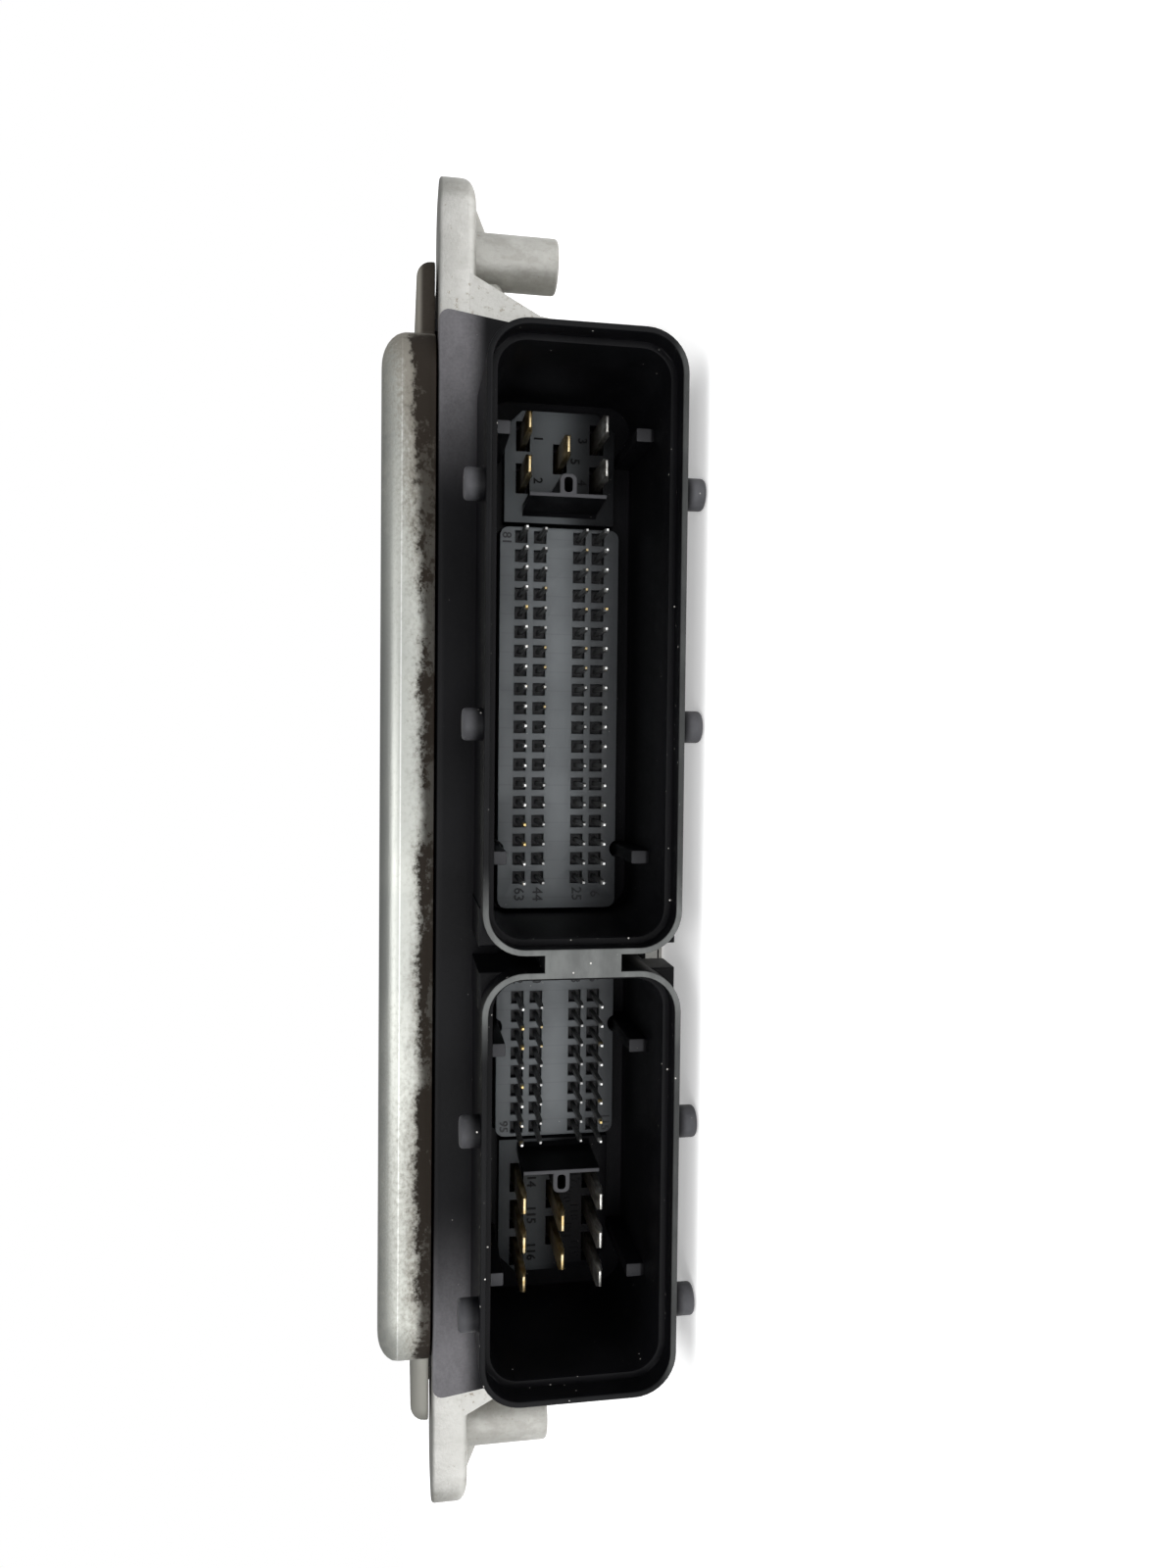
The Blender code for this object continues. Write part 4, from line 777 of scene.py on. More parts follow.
carve(groove, rounded_block("island", (-69.0, 69.0), (-50.0, 61.35), (29.0, 32.0), "Z", 5.0))
carve(tray, groove)
carve(tray, block("sill", around(0, CAVITY_HALF), (-50.35, -47.35), (1.3, 3.0)))
POST_BORE, SCREW_BORE = 4.2, 3.2
bores = [drum("bore", (x, y), POST_BORE, POST_LOW - 0.5, 23.4, "Z", 28) for x, y, _ in POSTS]
bores += [drum("bore", place, SCREW_BORE, 26.0, 33.3, "Z", 16) for place in LID_SCREWS]
bores += [drum("bore", place, SCREW_BORE, 15.8, 23.4, "Z", 16) for place in BOARD_SCREWS]
carve(tray, *bores)
complete(tray, "cast_aluminium", "base_housing")

# %% [markdown]
# ## The pressed lid
# The lid is drawn from sheet: a raised middle and a lower shelf with a hem around three sides. A drawn
# sheet has no sharp edge, so its corners and upper edges get real radii, and the foot of the raised middle
# gets a fillet. The same two forms, a sheet's thickness smaller, hollow it from below.

# %% Sheet shape
SHEET = 1.2
DOME_HALF, DOME_REAR, DOME_TOP = 68, 60.35, 37.7
SHELF_HALF, SHELF_FRONT, SHELF_REAR, SHELF_TOP = 78.5, -48.1, 70.85, 33.3
HEM = 30.9


def lid_form(inset, low):
    """The lid's raised middle and shelf, drawn in by an inset."""
    x, top = around(0, DOME_HALF - inset), DOME_TOP - inset
    dome_y = (FLANGE_FRONT + inset, DOME_REAR - inset)
    dome = rounded_block("dome", x, dome_y, (low, top), "Z", 8.0 - inset, 10)
    ends = block("ends", x, (FLANGE_FRONT - 5, DOME_REAR + 5.65), (low - 1, top))
    round_edges(ends, lambda edge: runs_along(edge, "Y") and middle(edge).z > low, 6.0 - inset, 12)
    round_edges(dome, lambda edge: lies_at(edge, "Z", top), 2.6 - inset, 6)
    boolean(dome, [ends], "INTERSECT")
    shelf_y = (SHELF_FRONT + inset, SHELF_REAR - inset)
    shelf_z = (low, SHELF_TOP - inset)
    shelf = rounded_block("shelf", around(0, SHELF_HALF - inset), shelf_y, shelf_z, "Z", 2.5 - inset, 8)
    round_edges(shelf, lambda edge: lies_at(edge, "Z", shelf_z[1]), 1.9 - inset, 6)
    return dome, shelf


lid, shelf = lid_form(0.0, HEM)
fuse(lid, shelf)
foot = round_edges(lid, lambda edge: lies_at(edge, "Z", SHELF_TOP) and is_sharp(edge) and (
    abs(middle(edge).x) < DOME_HALF + 0.1 and middle(edge).y < DOME_REAR + 0.15), 0.9, 4)
for hollow in lid_form(SHEET, HEM - 1.4):
    carve(lid, hollow)
rims = round_edges(lid, lambda edge: lies_at(edge, "Z", HEM) and is_sharp(edge), 0.15, 2)
print("lid: foot edges", foot, "lower edges", rims)

# %% [markdown]
# ## Lid screws
# Six flat screws hold the lid. Their heads sink into dished holes, and a six-lobed recess takes the driver.
# Head and dish are drums whose lower face is drawn in to a cone, and the recess is a drum with six more
# around it.

# %% Screw and its six places
HEAD_LOW, HEAD_TOP = 32.0, 33.0
LOBE_CIRCLE = 0.85


def cone(name, place, diameter, top, share):
    """Drum whose lower face is drawn in to a share of its width."""
    piece = drum(name, place, diameter, HEAD_LOW, top)
    draw_in(piece, lambda face: face.normal.z < -0.9, (share, share, 1), (*place, 0), "FACE")
    return piece


def screw(place):
    """Flat screw with a six-lobed recess."""
    head = cone("lid_screw", place, 4.4, HEAD_TOP, 0.62)
    fuse(head, drum("shank", place, 2.6, 26.3, HEAD_LOW + 0.3, "Z", 20))
    above = HEAD_TOP + OVERLAP
    carve(head, drum("socket", place, 2 * LOBE_CIRCLE, HEAD_LOW, above, "Z", 18))
    for turn in range(6):
        angle = math.radians(60 * turn)
        lobe = (place[0] + LOBE_CIRCLE * math.cos(angle), place[1] + LOBE_CIRCLE * math.sin(angle))
        carve(head, drum("lobe", lobe, 0.62, HEAD_LOW, above, "Z", 10))
    round_edges(head, lambda edge: lies_at(edge, "Z", HEAD_TOP) and is_sharp(edge), 0.08, 2)
    return head


first_x, first_y = LID_SCREWS[0]
first_screw = screw(LID_SCREWS[0])
for index, (x, y) in enumerate(LID_SCREWS, 1):
    piece = first_screw
    if index > 1:
        piece = copied(first_screw, "screw", x - first_x, y - first_y)
    piece.name = f"flat_screw_{index}"
    complete(piece, "screw_steel", f"lid_screw_{index}")
    carve(lid, cone("dish", (x, y), 5.8, HEAD_TOP + 0.4, 0.56))
    carve(lid, drum("hole", (x, y), SCREW_BORE, HEAD_LOW - 0.5, HEAD_TOP, "Z", 20))
complete(lid, "lid_sheet", "lid")

# %% [markdown]
# ## Finishes in nodes
# A finish is worked out from each point's place on the unit, in millimetres, so it sits still on the part
# and its scale is real. Writing the maths as expressions keeps it readable: the class below wraps a socket,
# and adding or multiplying two of them adds the Math node that does it.

# %% Tones and finishes
class Tone:
    """A value that changes over a surface."""

    def __init__(self, finish, socket):
        self.finish = finish
        self.socket = socket

    def maths(self, operation, first, second):
        return self.finish.node("ShaderNodeMath", {"operation": operation}, {0: first, 1: second})

    def __add__(self, other):
        return self.maths("ADD", self, other)

    def __radd__(self, other):
        return self.maths("ADD", other, self)

    def __sub__(self, other):
        return self.maths("SUBTRACT", self, other)

    def __rsub__(self, other):
        return self.maths("SUBTRACT", other, self)

    def __mul__(self, other):
        return self.maths("MULTIPLY", self, other)

    def __rmul__(self, other):
        return self.maths("MULTIPLY", other, self)

    def __abs__(self):
        return self.maths("ABSOLUTE", self, 0.0)

    def between(self, low, high):
        """0 below low, 1 above high, smooth between; low may be the larger one."""
        settings = {"interpolation_type": "SMOOTHSTEP"}
        return self.finish.node(
            "ShaderNodeMapRange", settings, {"Value": self, "From Min": low, "From Max": high})


class Finish:
    """A material in the making: a Principled surface and the nodes that feed it."""

    def __init__(self, name, **uniform):
        self.material = bpy.data.materials.new(name)
        self.material.use_nodes = True
        self.tree = self.material.node_tree
        self.surface = self.tree.nodes["Principled BSDF"]
        for socket, value in uniform.items():
            self.surface.inputs[socket.replace("_", " ")].default_value = value
        place = self.node("ShaderNodeTexCoord", {}, {}, "Object")
        self.place = self.node("ShaderNodeVectorMath", {"operation": "SCALE"}, {0: place, "Scale": 1000.0})
        self.x, self.y, self.z = [
            self.node("ShaderNodeSeparateXYZ", {}, {0: self.place}, axis) for axis in "XYZ"]

    def node(self, kind, settings, sockets, output=0):
        """Add any node: its settings first, then the values or links of its sockets."""
        item = self.tree.nodes.new(kind)
        for setting, value in settings.items():
            setattr(item, setting, value)
        for socket, value in sockets.items():
            if isinstance(value, Tone):
                self.tree.links.new(value.socket, item.inputs[socket])
            else:
                item.inputs[socket].default_value = value
        return Tone(self, item.outputs[output])

    def stretched(self, stretch, shift):
        """Places scaled unevenly, for grain that runs one way, and moved for another sample of it."""
        longer = self.node("ShaderNodeVectorMath", {"operation": "MULTIPLY"}, {0: self.place, 1: stretch})
        return self.node("ShaderNodeVectorMath", {"operation": "ADD"}, {0: longer, 1: (shift, shift, shift)})

    def clouds(self, size, detail=2.0, stretch=(1, 1, 1), shift=0.0, roughness=0.5):
        """Soft noise from 0 to 1 whose patches are about this size in millimetres."""
        place = self.stretched(stretch, shift)
        return self.node("ShaderNodeTexNoise", {}, {
            "Vector": place, "Scale": 1 / size, "Detail": detail, "Roughness": roughness})

    def specks(self, size, radius, shift):
        """1 inside small round specks, 0 elsewhere; the radius is a share of their spacing and may vary."""
        place = self.stretched((1, 1, 1), shift)
        distance = self.node("ShaderNodeTexVoronoi", {}, {"Vector": place, "Scale": 1 / size}, "Distance")
        return (radius - distance).between(0.0, 0.04)

    def mix(self, amount, first, second):
        """Colour between two colours."""
        return self.node("ShaderNodeMix", {"data_type": "RGBA"}, {0: amount, 6: first, 7: second}, 2)

    def feed(self, **sockets):
        """Link what varies to the surface's sockets."""
        for socket, value in sockets.items():
            self.tree.links.new(value.socket, self.surface.inputs[socket.replace("_", " ")])

    def relief(self, height, depth):
        """Bump of this depth in millimetres."""
        normal = self.node("ShaderNodeBump", {}, {"Height": height, "Distance": depth * MM, "Strength": 1.0})
        self.feed(Normal=normal)

    def paint(self, *pieces):
        for piece in pieces:
            piece.data.materials.clear()
            piece.data.materials.append(self.material)


def paint(red, green, blue):
    return (red, green, blue, 1.0)


# %% [markdown]
# ## Pressed aluminium
# The lid is satin sheet with faint lines from the rolling mill. Years under a bonnet left brown-black grime
# in the seam above the header, thinning out over the wall in specks, and a thin brown film. Painted shade
# darkens the wall's lower edge by the black flange, the shelf's ends and the whole +X end, where it adds to
# the grime and the film, and the wall turns browner and darker towards -X. A painted highlight runs along the
# line where the upper rounding meets the front wall. Grime isn't metal, so the masks that darken it, painted
# shade included, also take the metallic look away and make it rough.

# %% Lid finish
sheet = Finish("lid_sheet", Specular_IOR_Level=0.1)
rolled = sheet.clouds(0.35, 3.0, (0.05, 1, 1))
patches = sheet.clouds(14.0, 3.0)
drifts = sheet.clouds(9.0, 3.0, (0.6, 1, 1), 21.0, 0.6)
grit = sheet.clouds(0.5, 6.0, (0.8, 1, 1), 3.0, 0.72)
crumbs = sheet.clouds(1.6, 5.0, shift=7.0, roughness=0.65)
front_wall = sheet.y.between(-50.0, -54.0)
# Painted shade: the +X end is darkened through the seam, the lower edge, the shelf and the film.
shaded_upper_end = sheet.x.between(24.0, 66.0)
seam = (sheet.z - shaded_upper_end * 1.4).between(35.4, 31.2) * front_wall
thick = drifts.between(0.37, 0.58)
# Grime and painted shade: a dark band along the wall's lower edge, next to the black flange.
lip_grime_and_shade = (sheet.z - shaded_upper_end * 1.2 - crumbs * 0.8 - thick * 0.3).between(33.1, 31.3) * front_wall
# Painted shade on the shelf's ends, darkest at their foot and at the +X end.
shelf_end_shade = abs(sheet.x).between(66.0, 69.0) * sheet.y.between(-40.0, -47.5)
shelf_foot_shade = shelf_end_shade * sheet.z.between(33.5, 32.3)
# Grime and specks along the seam, plus the painted shade of the lower edge, the shelf's foot and the +X end.
grime_and_shade = (grit * 0.6 + crumbs * 0.4 + seam * (0.03 + thick * 0.26)).between(0.57, 0.81) * (0.30 + seam * 0.60)
# Painted shade on the +X end of the raised middle.
cap_end_shade = sheet.x.between(60.0, 68.0) * sheet.y.between(-46.0, -53.0)
grime_and_shade = (grime_and_shade + lip_grime_and_shade * 0.95 + shelf_foot_shade * (0.25 + shaded_upper_end * 0.75) + cap_end_shade * grit * 0.45).between(0.0, 1.15)
# Brown film along the seam, plus painted shade at the shelf's ends and the +X end; the wall also turns
# browner towards -X.
film_and_shade = seam * (0.42 + thick * 0.45) + thick * 0.10 + shelf_end_shade * 0.35
film_and_shade = film_and_shade + shaded_upper_end * (0.50 + sheet.z.between(36.6, 33.6) * 0.40) + cap_end_shade * 0.5
film_and_shade = (film_and_shade + sheet.x.between(-5.0, -45.0) * 0.30 + (grit - 0.5) * front_wall * 1.8).between(0.0, 1.25)
# Painted highlight: a bright line where the upper rounding meets the front wall.
crease_highlight = abs(sheet.z - 35.1).between(0.12, 0.04) * front_wall
metal = sheet.mix(patches.between(0.35, 0.65), paint(0.46, 0.47, 0.44), paint(0.54, 0.55, 0.51))
metal = sheet.mix(crease_highlight * 0.7, metal, paint(0.85, 0.86, 0.84))
metal = sheet.mix(film_and_shade * 0.85, metal, paint(0.20, 0.182, 0.152))
sheet.feed(
    Base_Color=sheet.mix(grime_and_shade, metal, paint(0.016, 0.0125, 0.0095)),
    Metallic=1.0 - grime_and_shade * 0.9 - film_and_shade * 0.25,
    Roughness=0.34 + rolled * 0.10 + film_and_shade * 0.25)
sheet.relief(rolled * 0.5 + patches * 0.8 + grime_and_shade * 0.5, 0.03)
sheet.paint(lid)

# %% [markdown]
# ## Cast aluminium
# Die casting leaves a light grey skin with a fine grain and soft blotches, brighter where hands and tools
# polished it. The flat front face is painted lighter, a painted highlight. Brown specks gather near the
# header's ends.

# %% Tray finish
cast = Finish("cast_aluminium")
grain = cast.clouds(0.45, 4.0, roughness=0.6)
flow = cast.clouds(9.0, 3.0, shift=9.0)
rubbed = cast.clouds(3.0, 3.0, shift=2.0)
mottle = cast.clouds(1.2, 4.0, (1, 1, 0.6), 17.0, 0.65)
front_face_light_and_stains = cast.y.between(-51.8, -52.3)
by_flange = abs(cast.x).between(78.0, 70.0) * front_face_light_and_stains
stains = cast.clouds(0.8, 4.0, shift=13.0, roughness=0.7)
soiled = (stains + by_flange * 0.08 + cast.x.between(-80.0, -86.0) * 0.05).between(0.62, 0.80) * 0.8
skin = cast.mix(flow.between(0.3, 0.7), paint(0.36, 0.355, 0.33), paint(0.43, 0.425, 0.40))
skin = cast.mix(rubbed.between(0.50, 0.72) * 0.35, skin, paint(0.55, 0.545, 0.52))
skin = cast.mix(mottle.between(0.42, 0.62) * 0.35, skin, paint(0.27, 0.262, 0.235))
# Painted highlight: the flat front face is painted lighter.
skin = cast.mix(front_face_light_and_stains * 0.30, skin, paint(0.80, 0.795, 0.77))
cast.feed(
    Base_Color=cast.mix(soiled, skin, paint(0.20, 0.16, 0.11)),
    Metallic=0.9 - soiled * 0.7,
    Roughness=0.44 + grain * 0.18 + soiled * 0.2)
cast.relief(grain * 0.7 + mottle * 0.5 + flow * 0.6, 0.08)
cast.paint(tray)

# %% [markdown]
# ## Header plastic
# The header is black glass-filled plastic. Its flange carries dust, and a painted reflection makes it greyer
# towards both ends. The rims are rubbed to a dull grey near the bridge, and painted light brightens them
# along the lower side. Pale dust lies inside the sockets. The lugs' ends are scuffed lighter by the plugs,
# with painted light making the lower ones lighter still, and the ends of the ribs and the tops of the key
# walls carry a painted highlight. The power floors get a painted grey reflection, which a painted shadow
# fades towards low Z and -X. Each of these follows from the place: the distance from the flange, the rims or
# the floors.

# %% Header finish
plastic = Finish("header_plastic", Specular_IOR_Level=0.1)
fibres = plastic.clouds(0.30, 3.0, roughness=0.6)
haze = plastic.clouds(11.0, 3.0, shift=4.0)
smears = plastic.clouds(2.2, 4.0, (0.4, 1, 1), 6.0, 0.6)
on_flange = plastic.y.between(FLANGE_FRONT - 0.65, FLANGE_FRONT - 0.05) * plastic.z.between(24.5, 27.2)
# Painted reflection: the flange grows greyer towards both ends, mixed with its dust.
sheen_towards_ends = abs(plastic.x).between(44.0, 66.0)
dust_and_sheen = on_flange * (0.01 + sheen_towards_ends * 0.60) * (0.25 + smears * 0.75 + fibres * 0.5)
by_bridge = abs(plastic.x - centre_of(BRIDGE_X)).between(12.0, 2.5)
# Painted light: the rims are lighter along the lower side; near the bridge they are rubbed.
lit_lower_edge = plastic.z.between(LOW + 2.1, LOW + 0.2)
rim_wear_and_light = plastic.y.between(FRONT + 0.25, FRONT + 0.05) * (0.015 + by_bridge * 0.8 + lit_lower_edge * 0.3) * (
    0.7 + smears.between(0.35, 0.7) * 0.3)
# Scuffed lug tips, with painted light making the lower ones 1.4 times lighter.
lug_tip_wear_and_light = plastic.z.between(HIGH + 0.4, HIGH + 1.8) + plastic.z.between(LOW - 0.1, LOW - 1.2) * 1.4
before_flange = plastic.y.between(FLANGE_FRONT - 0.75, FLANGE_FRONT - 1.55)
lug_end_wear_and_light = lug_tip_wear_and_light * before_flange * (0.14 + smears * 0.45)
in_large = abs(plastic.x - centre_of(SOCKETS["large"])).between(33.0, 32.0)
in_small = abs(plastic.x - centre_of(SOCKETS["small"])).between(22.5, 21.5)
inside_x = in_large + in_small
off_middle = abs(plastic.z - MID)
# Painted highlight on the ribs' front ends, stronger towards high Z.
rib_end_highlight = abs(plastic.y - RIB_FRONT).between(0.16, 0.08) * inside_x * off_middle.between(9.9, 9.6) * (
    0.35 + plastic.z.between(10.0, 18.0) * 0.5)
# Painted highlight along the tops of the cross walls and bosses.
key_top_highlight = abs(plastic.y - KEY_TOP).between(0.15, 0.08) * inside_x * off_middle.between(5.4, 5.2)
large_floor = abs(plastic.x - centre_of(POWER_X["large"])).between(7.5, 7.4)
small_floor = abs(plastic.x - centre_of(POWER_X["small"])).between(9.2, 9.1)
# Painted reflection: the power floors are painted a sheen grey.
floors = abs(plastic.y - (POWER_FLOOR + 0.04)).between(0.12, 0.10) * (large_floor + small_floor) * (
    off_middle.between(POWER_HALF, POWER_HALF - 0.1))
mouth = plastic.y.between(-63.0, -69.0)
dust = plastic.specks(1.3, 0.045 + mouth * 0.05, 1.0) * plastic.clouds(5.0, 2.0, shift=8.0).between(0.45, 0.6)
body = plastic.mix(haze.between(0.3, 0.7), paint(0.0018, 0.0018, 0.0022), paint(0.0035, 0.0035, 0.0042))
body = plastic.mix(dust_and_sheen, body, paint(0.17, 0.165, 0.175))
body = plastic.mix(rim_wear_and_light, body, paint(0.14, 0.145, 0.142))
body = plastic.mix(lug_end_wear_and_light + rib_end_highlight * 0.55 + key_top_highlight * 0.55, body, paint(0.11, 0.11, 0.118))
# Painted shadow: the floors' grey fades towards low Z and -X.
shaded = (plastic.z.between(17.5, 9.0) * 0.85 + plastic.x.between(-30.0, -45.0) * 0.55).between(0.0, 1.0)
body = plastic.mix(floors * (1.0 - shaded), body, paint(0.085, 0.092, 0.097))
plastic.feed(
    Base_Color=plastic.mix(dust, body, paint(0.55, 0.53, 0.50)),
    Roughness=0.36 + fibres * 0.12 + dust_and_sheen * 0.3 + rim_wear_and_light * 0.15)
plastic.relief(fibres * 0.7 + smears * 0.3, 0.02)
plastic.paint(header, floor_numbers)

# %% [markdown]
# ## Carrier plastic
# The carriers are a lighter, mid grey plastic. Tool marks show as faint lines. The recesses around the pins
# are painted dark as painted shade and dirt, the moulded numbers are painted dark as painted shade, and a
# painted shadow darkens the plates towards low Z.

# %% Carrier finish
grey = Finish("carrier_plastic", Specular_IOR_Level=0.4)
texture = grey.clouds(0.25, 3.0, roughness=0.6)
cloudy = grey.clouds(8.0, 3.0, shift=5.0)
# Painted shade and dirt: the recesses are painted nearly black.
recess_shade_and_dirt = grey.y.between(-48.55, -48.1)
parting = grey.node("ShaderNodeMath", {"operation": "PINGPONG"}, {0: grey.x + 1.07, 1: PITCH / 2})
lines = parting.between(0.10, 0.04) * 0.18
# Painted shade: the moulded numbers' tops are painted nearly black.
raised = grey.y.between(-48.68, -48.71)
tint = grey.mix(cloudy.between(0.35, 0.65), paint(0.110, 0.119, 0.125), paint(0.138, 0.149, 0.156))
tint = grey.mix(lines, tint, paint(0.06, 0.06, 0.063))
# Painted shadow: the plates darken towards low Z.
tint = grey.mix(grey.z.between(15.0, 7.0) * 0.85, tint, paint(0.020, 0.021, 0.023))
tint = grey.mix(raised * 0.9, tint, paint(0.015, 0.015, 0.017))
lint = grey.specks(2.3, 0.045, 2.0)
tint = grey.mix(lint * 0.7, tint, paint(0.5, 0.48, 0.45))
grey.feed(
    Base_Color=grey.mix(recess_shade_and_dirt * 0.92, tint, paint(0.006, 0.006, 0.007)),
    Roughness=0.42 + texture * 0.16)
grey.relief(texture * 0.8 - lines, 0.02)
grey.paint(*plates.values())

# %% [markdown]
# ## Pins and blades
# The pins are tinned. Their sides are painted dark as painted shade, with tarnish varying them, their tips
# are painted bright as a painted highlight, and a few tips look gilded. The blades are gold-toned strips of
# copper alloy, those on the base side are tinned, and a painted shade darkens all of them where they stand
# deep in the socket. Each finish works with the place along the contact and the row.

# %% Contact finishes
tin = Finish("pin_tin")
tarnish = tin.clouds(0.5, 3.0)
# Painted highlight: the tips are painted bright as a glint.
tips = tin.y.between(-54.6, -55.6)
gilded = tin.clouds(4.0, 1.0, shift=30.0).between(0.56, 0.60)
# Painted shade: the sides are dark tin, with tarnish varying them.
shaded_side_tone = tin.mix(tarnish.between(0.3, 0.7), paint(0.055, 0.055, 0.055), paint(0.12, 0.12, 0.118))
tip_tone = tin.mix(gilded, paint(0.90, 0.90, 0.88), paint(0.88, 0.66, 0.28))
tin.feed(
    Base_Color=tin.mix(tips, shaded_side_tone, tip_tone),
    Roughness=0.30 + tarnish * 0.2,
    Metallic=0.6 + tips * 0.2)
tin.relief(tarnish, 0.01)
tin.paint(*[bpy.data.objects["signal_pins_" + socket] for socket in PIN_X])

gold = Finish("blade_metal", Metallic=0.95)
scuffs = gold.clouds(0.6, 3.0, (1, 0.3, 1))
worn = scuffs.between(0.35, 0.65)
base_side = gold.z.between(11.5, 10.5)
warm = gold.mix(worn, paint(0.62, 0.45, 0.20), paint(0.86, 0.70, 0.42))
cool = gold.mix(worn, paint(0.50, 0.49, 0.46), paint(0.82, 0.81, 0.78))
# Painted shade: the blades darken where they stand deep in the socket.
deep_shade = gold.y.between(-57.0, -50.0) * 0.8
gold.feed(
    Base_Color=gold.mix(deep_shade, gold.mix(base_side, warm, cool), paint(0.10, 0.075, 0.045)),
    Roughness=0.22 + scuffs * 0.2)
gold.relief(scuffs, 0.01)
gold.paint(*[bpy.data.objects[name + "_strip"] for name in BLADES])

# %% [markdown]
# ## Hidden pieces
# Under the lid are the circuit board, its parts and the seals. They keep their measured shapes and get a
# finish each, so that the unit also holds up when the lid is taken off.

# %% Inner finishes
def simple(name, first, second, size, roughness, metallic, depth):
    """Finish with two tones in soft patches of a size in millimetres, and a fine relief of a depth."""
    finish = Finish(name, Metallic=metallic)
    patch = finish.clouds(size, 4.0)
    fine_grain = finish.clouds(size / 9, 3.0, shift=4.0)
    finish.feed(
        Base_Color=finish.mix(patch.between(0.35, 0.65), paint(*first), paint(*second)),
        Roughness=roughness - 0.08 + fine_grain * 0.16)
    finish.relief(fine_grain, depth)
    return finish


SIMPLE = {
    "screw_steel": ((0.42, 0.42, 0.41), (0.60, 0.60, 0.58), 2.0, 0.36, 1.0, 0.02),
    "seal_rubber": ((0.020, 0.020, 0.021), (0.040, 0.040, 0.041), 3.0, 0.75, 0.0, 0.03),
    "chip_plastic": ((0.016, 0.016, 0.018), (0.028, 0.028, 0.030), 4.0, 0.5, 0.0, 0.02),
    "can_metal": ((0.55, 0.56, 0.58), (0.68, 0.68, 0.70), 5.0, 0.28, 1.0, 0.01),
    "coil_ferrite": ((0.035, 0.034, 0.033), (0.065, 0.063, 0.060), 2.5, 0.65, 0.0, 0.03),
    "pad_silicone": ((0.40, 0.44, 0.49), (0.48, 0.52, 0.56), 5.0, 0.8, 0.0, 0.03),
}
finishes = {name: simple(name, *values) for name, values in SIMPLE.items()}

laminate = Finish("board_laminate", Roughness=0.4)
winding = laminate.x + laminate.clouds(9.0) * 8.0
lanes = laminate.node("ShaderNodeMath", {"operation": "PINGPONG"}, {0: winding, 1: 0.8})
track = lanes.between(0.30, 0.22) * laminate.clouds(12.0, 1.0, shift=3.0).between(0.45, 0.5)
laminate.feed(Base_Color=laminate.mix(track, paint(0.012, 0.075, 0.030), paint(0.030, 0.150, 0.060)))
laminate.relief(track, 0.03)
finishes["board_laminate"] = laminate

slots_of = {part["node"]: part["material_slot"] for part in frame["record"]["subparts"]}
dressed = 0
for name, node in nodes.items():
    finish = finishes.get(slots_of.get(name))
    if finish:
        for place in node.material_slots:
            place.material = finish.material
        dressed += 1
screws = [bpy.data.objects[f"flat_screw_{index}"] for index in range(1, len(LID_SCREWS) + 1)]
finishes["screw_steel"].paint(*screws)
print("measured pieces with a finish:", dressed)

# %% [markdown]
# ## Floor, light and camera
# The floor is white acrylic that is lit from behind, so it gives off some light of its own. A studio shot
# of a dark socket needs large soft lights: small ones would glint on the pins and leave the depth black.
# The room is brighter behind the camera than beyond the unit, so the satin lid shows a gradient, while the
# camera itself sees plain white paper. The camera looks at the sockets with the unit turned on its end, as
# a person holding it up sees it.

# %% Floor and room
bpy.ops.object.select_all(action="DESELECT")
bpy.ops.mesh.primitive_plane_add(size=8.0, location=(0, 0, -0.0002))
floor = settled("studio_floor")
floor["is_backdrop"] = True
ground = Finish("floor_acrylic", Roughness=0.9, Emission_Color=paint(1.0, 1.0, 1.0), Emission_Strength=0.38)
ground.feed(Base_Color=ground.mix(ground.clouds(60.0), paint(0.90, 0.90, 0.90), paint(0.92, 0.92, 0.92)))
ground.paint(floor)

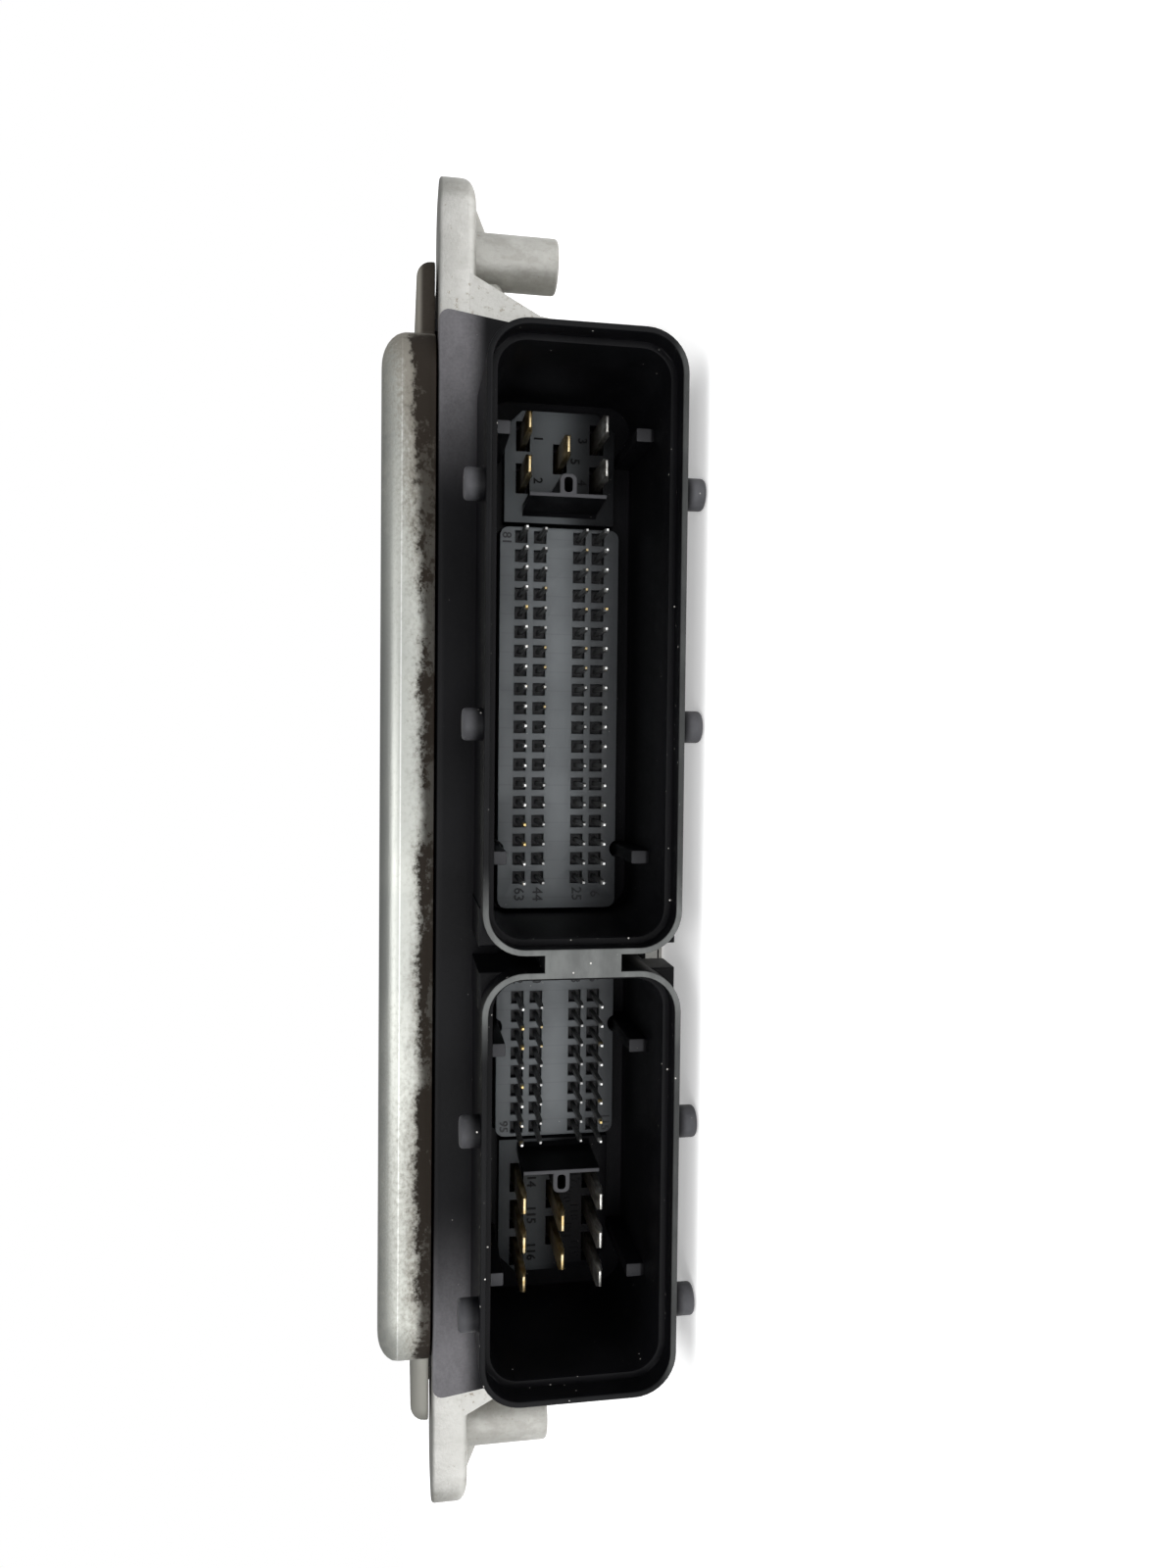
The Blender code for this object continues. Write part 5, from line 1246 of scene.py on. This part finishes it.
scene = bpy.context.scene
world = bpy.data.worlds.new("studio")
world.use_nodes = True
scene.world = world
tree = world.node_tree
room = tree.nodes["Background"]
direction = tree.nodes.new("ShaderNodeTexCoord")
parts = tree.nodes.new("ShaderNodeSeparateXYZ")
front = tree.nodes.new("ShaderNodeMapRange")
for socket, value in (("From Min", 0.6), ("From Max", -0.6), ("To Min", 0.22), ("To Max", 0.42)):
    front.inputs[socket].default_value = value
tree.links.new(direction.outputs["Generated"], parts.inputs[0])
tree.links.new(parts.outputs["Y"], front.inputs["Value"])
tree.links.new(front.outputs[0], room.inputs["Strength"])
paper = tree.nodes.new("ShaderNodeBackground")
paper.inputs["Color"].default_value = (1, 1, 1, 1)
path = tree.nodes.new("ShaderNodeLightPath")
choice = tree.nodes.new("ShaderNodeMixShader")
room.inputs["Color"].default_value = (0.97, 0.985, 1.0, 1)
tree.links.new(path.outputs["Is Camera Ray"], choice.inputs[0])
tree.links.new(room.outputs[0], choice.inputs[1])
tree.links.new(paper.outputs[0], choice.inputs[2])
tree.links.new(choice.outputs[0], tree.nodes["World Output"].inputs["Surface"])
scene.view_settings.view_transform = "Standard"


def aimed(light, place, target):
    light.location = place
    light.rotation_euler = (Vector(target) - Vector(place)).to_track_quat("-Z", "Y").to_euler()


def area_light(name, place, target, size, watts):
    bpy.ops.object.select_all(action="DESELECT")
    bpy.ops.object.light_add(type="AREA")
    light = bpy.context.object
    light.name = name
    light.data.size = size
    light.data.energy = watts
    aimed(light, place, target)


area_light("lid_side", (-0.12, -0.75, 0.50), (0, 0, 0.02), 0.45, 2.0)
area_light("front", (-0.40, -0.90, 0.05), (0, 0, 0.02), 0.5, 1.5)
area_light("fill", (-0.15, -0.9, 0.12), (0, 0, 0.02), 0.6, 6.0)
bpy.context.object.visible_glossy = False
bpy.ops.object.light_add(type="SUN")
overhead = bpy.context.object
overhead.name = "overhead"
overhead.data.energy = 2.4
overhead.data.angle = math.radians(90)
overhead.visible_glossy = False

# %% Camera
LENS, SENSOR = 25.29, 36.0
EYE = (0.01439, -0.19629, 0.03539)
RIGHT = (0.01097, -0.16969, -0.98544)
UP = (0.99935, 0.03559, 0.00500)
BACK = (0.03422, -0.98486, 0.16997)

camera_data = bpy.data.cameras.new("camera")
camera_data.lens = LENS
camera_data.sensor_width = SENSOR
camera_data.clip_start = 0.01
camera = bpy.data.objects.new("camera", camera_data)
scene.collection.objects.link(camera)
turn = Matrix((RIGHT, UP, BACK)).transposed().to_4x4()
camera.matrix_world = Matrix.Translation(EYE) @ turn
scene.camera = camera

# %% Sizes, and the last check
low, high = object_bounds()
print("visual size in mm:", [round(side * 1000, 2) for side in high - low])
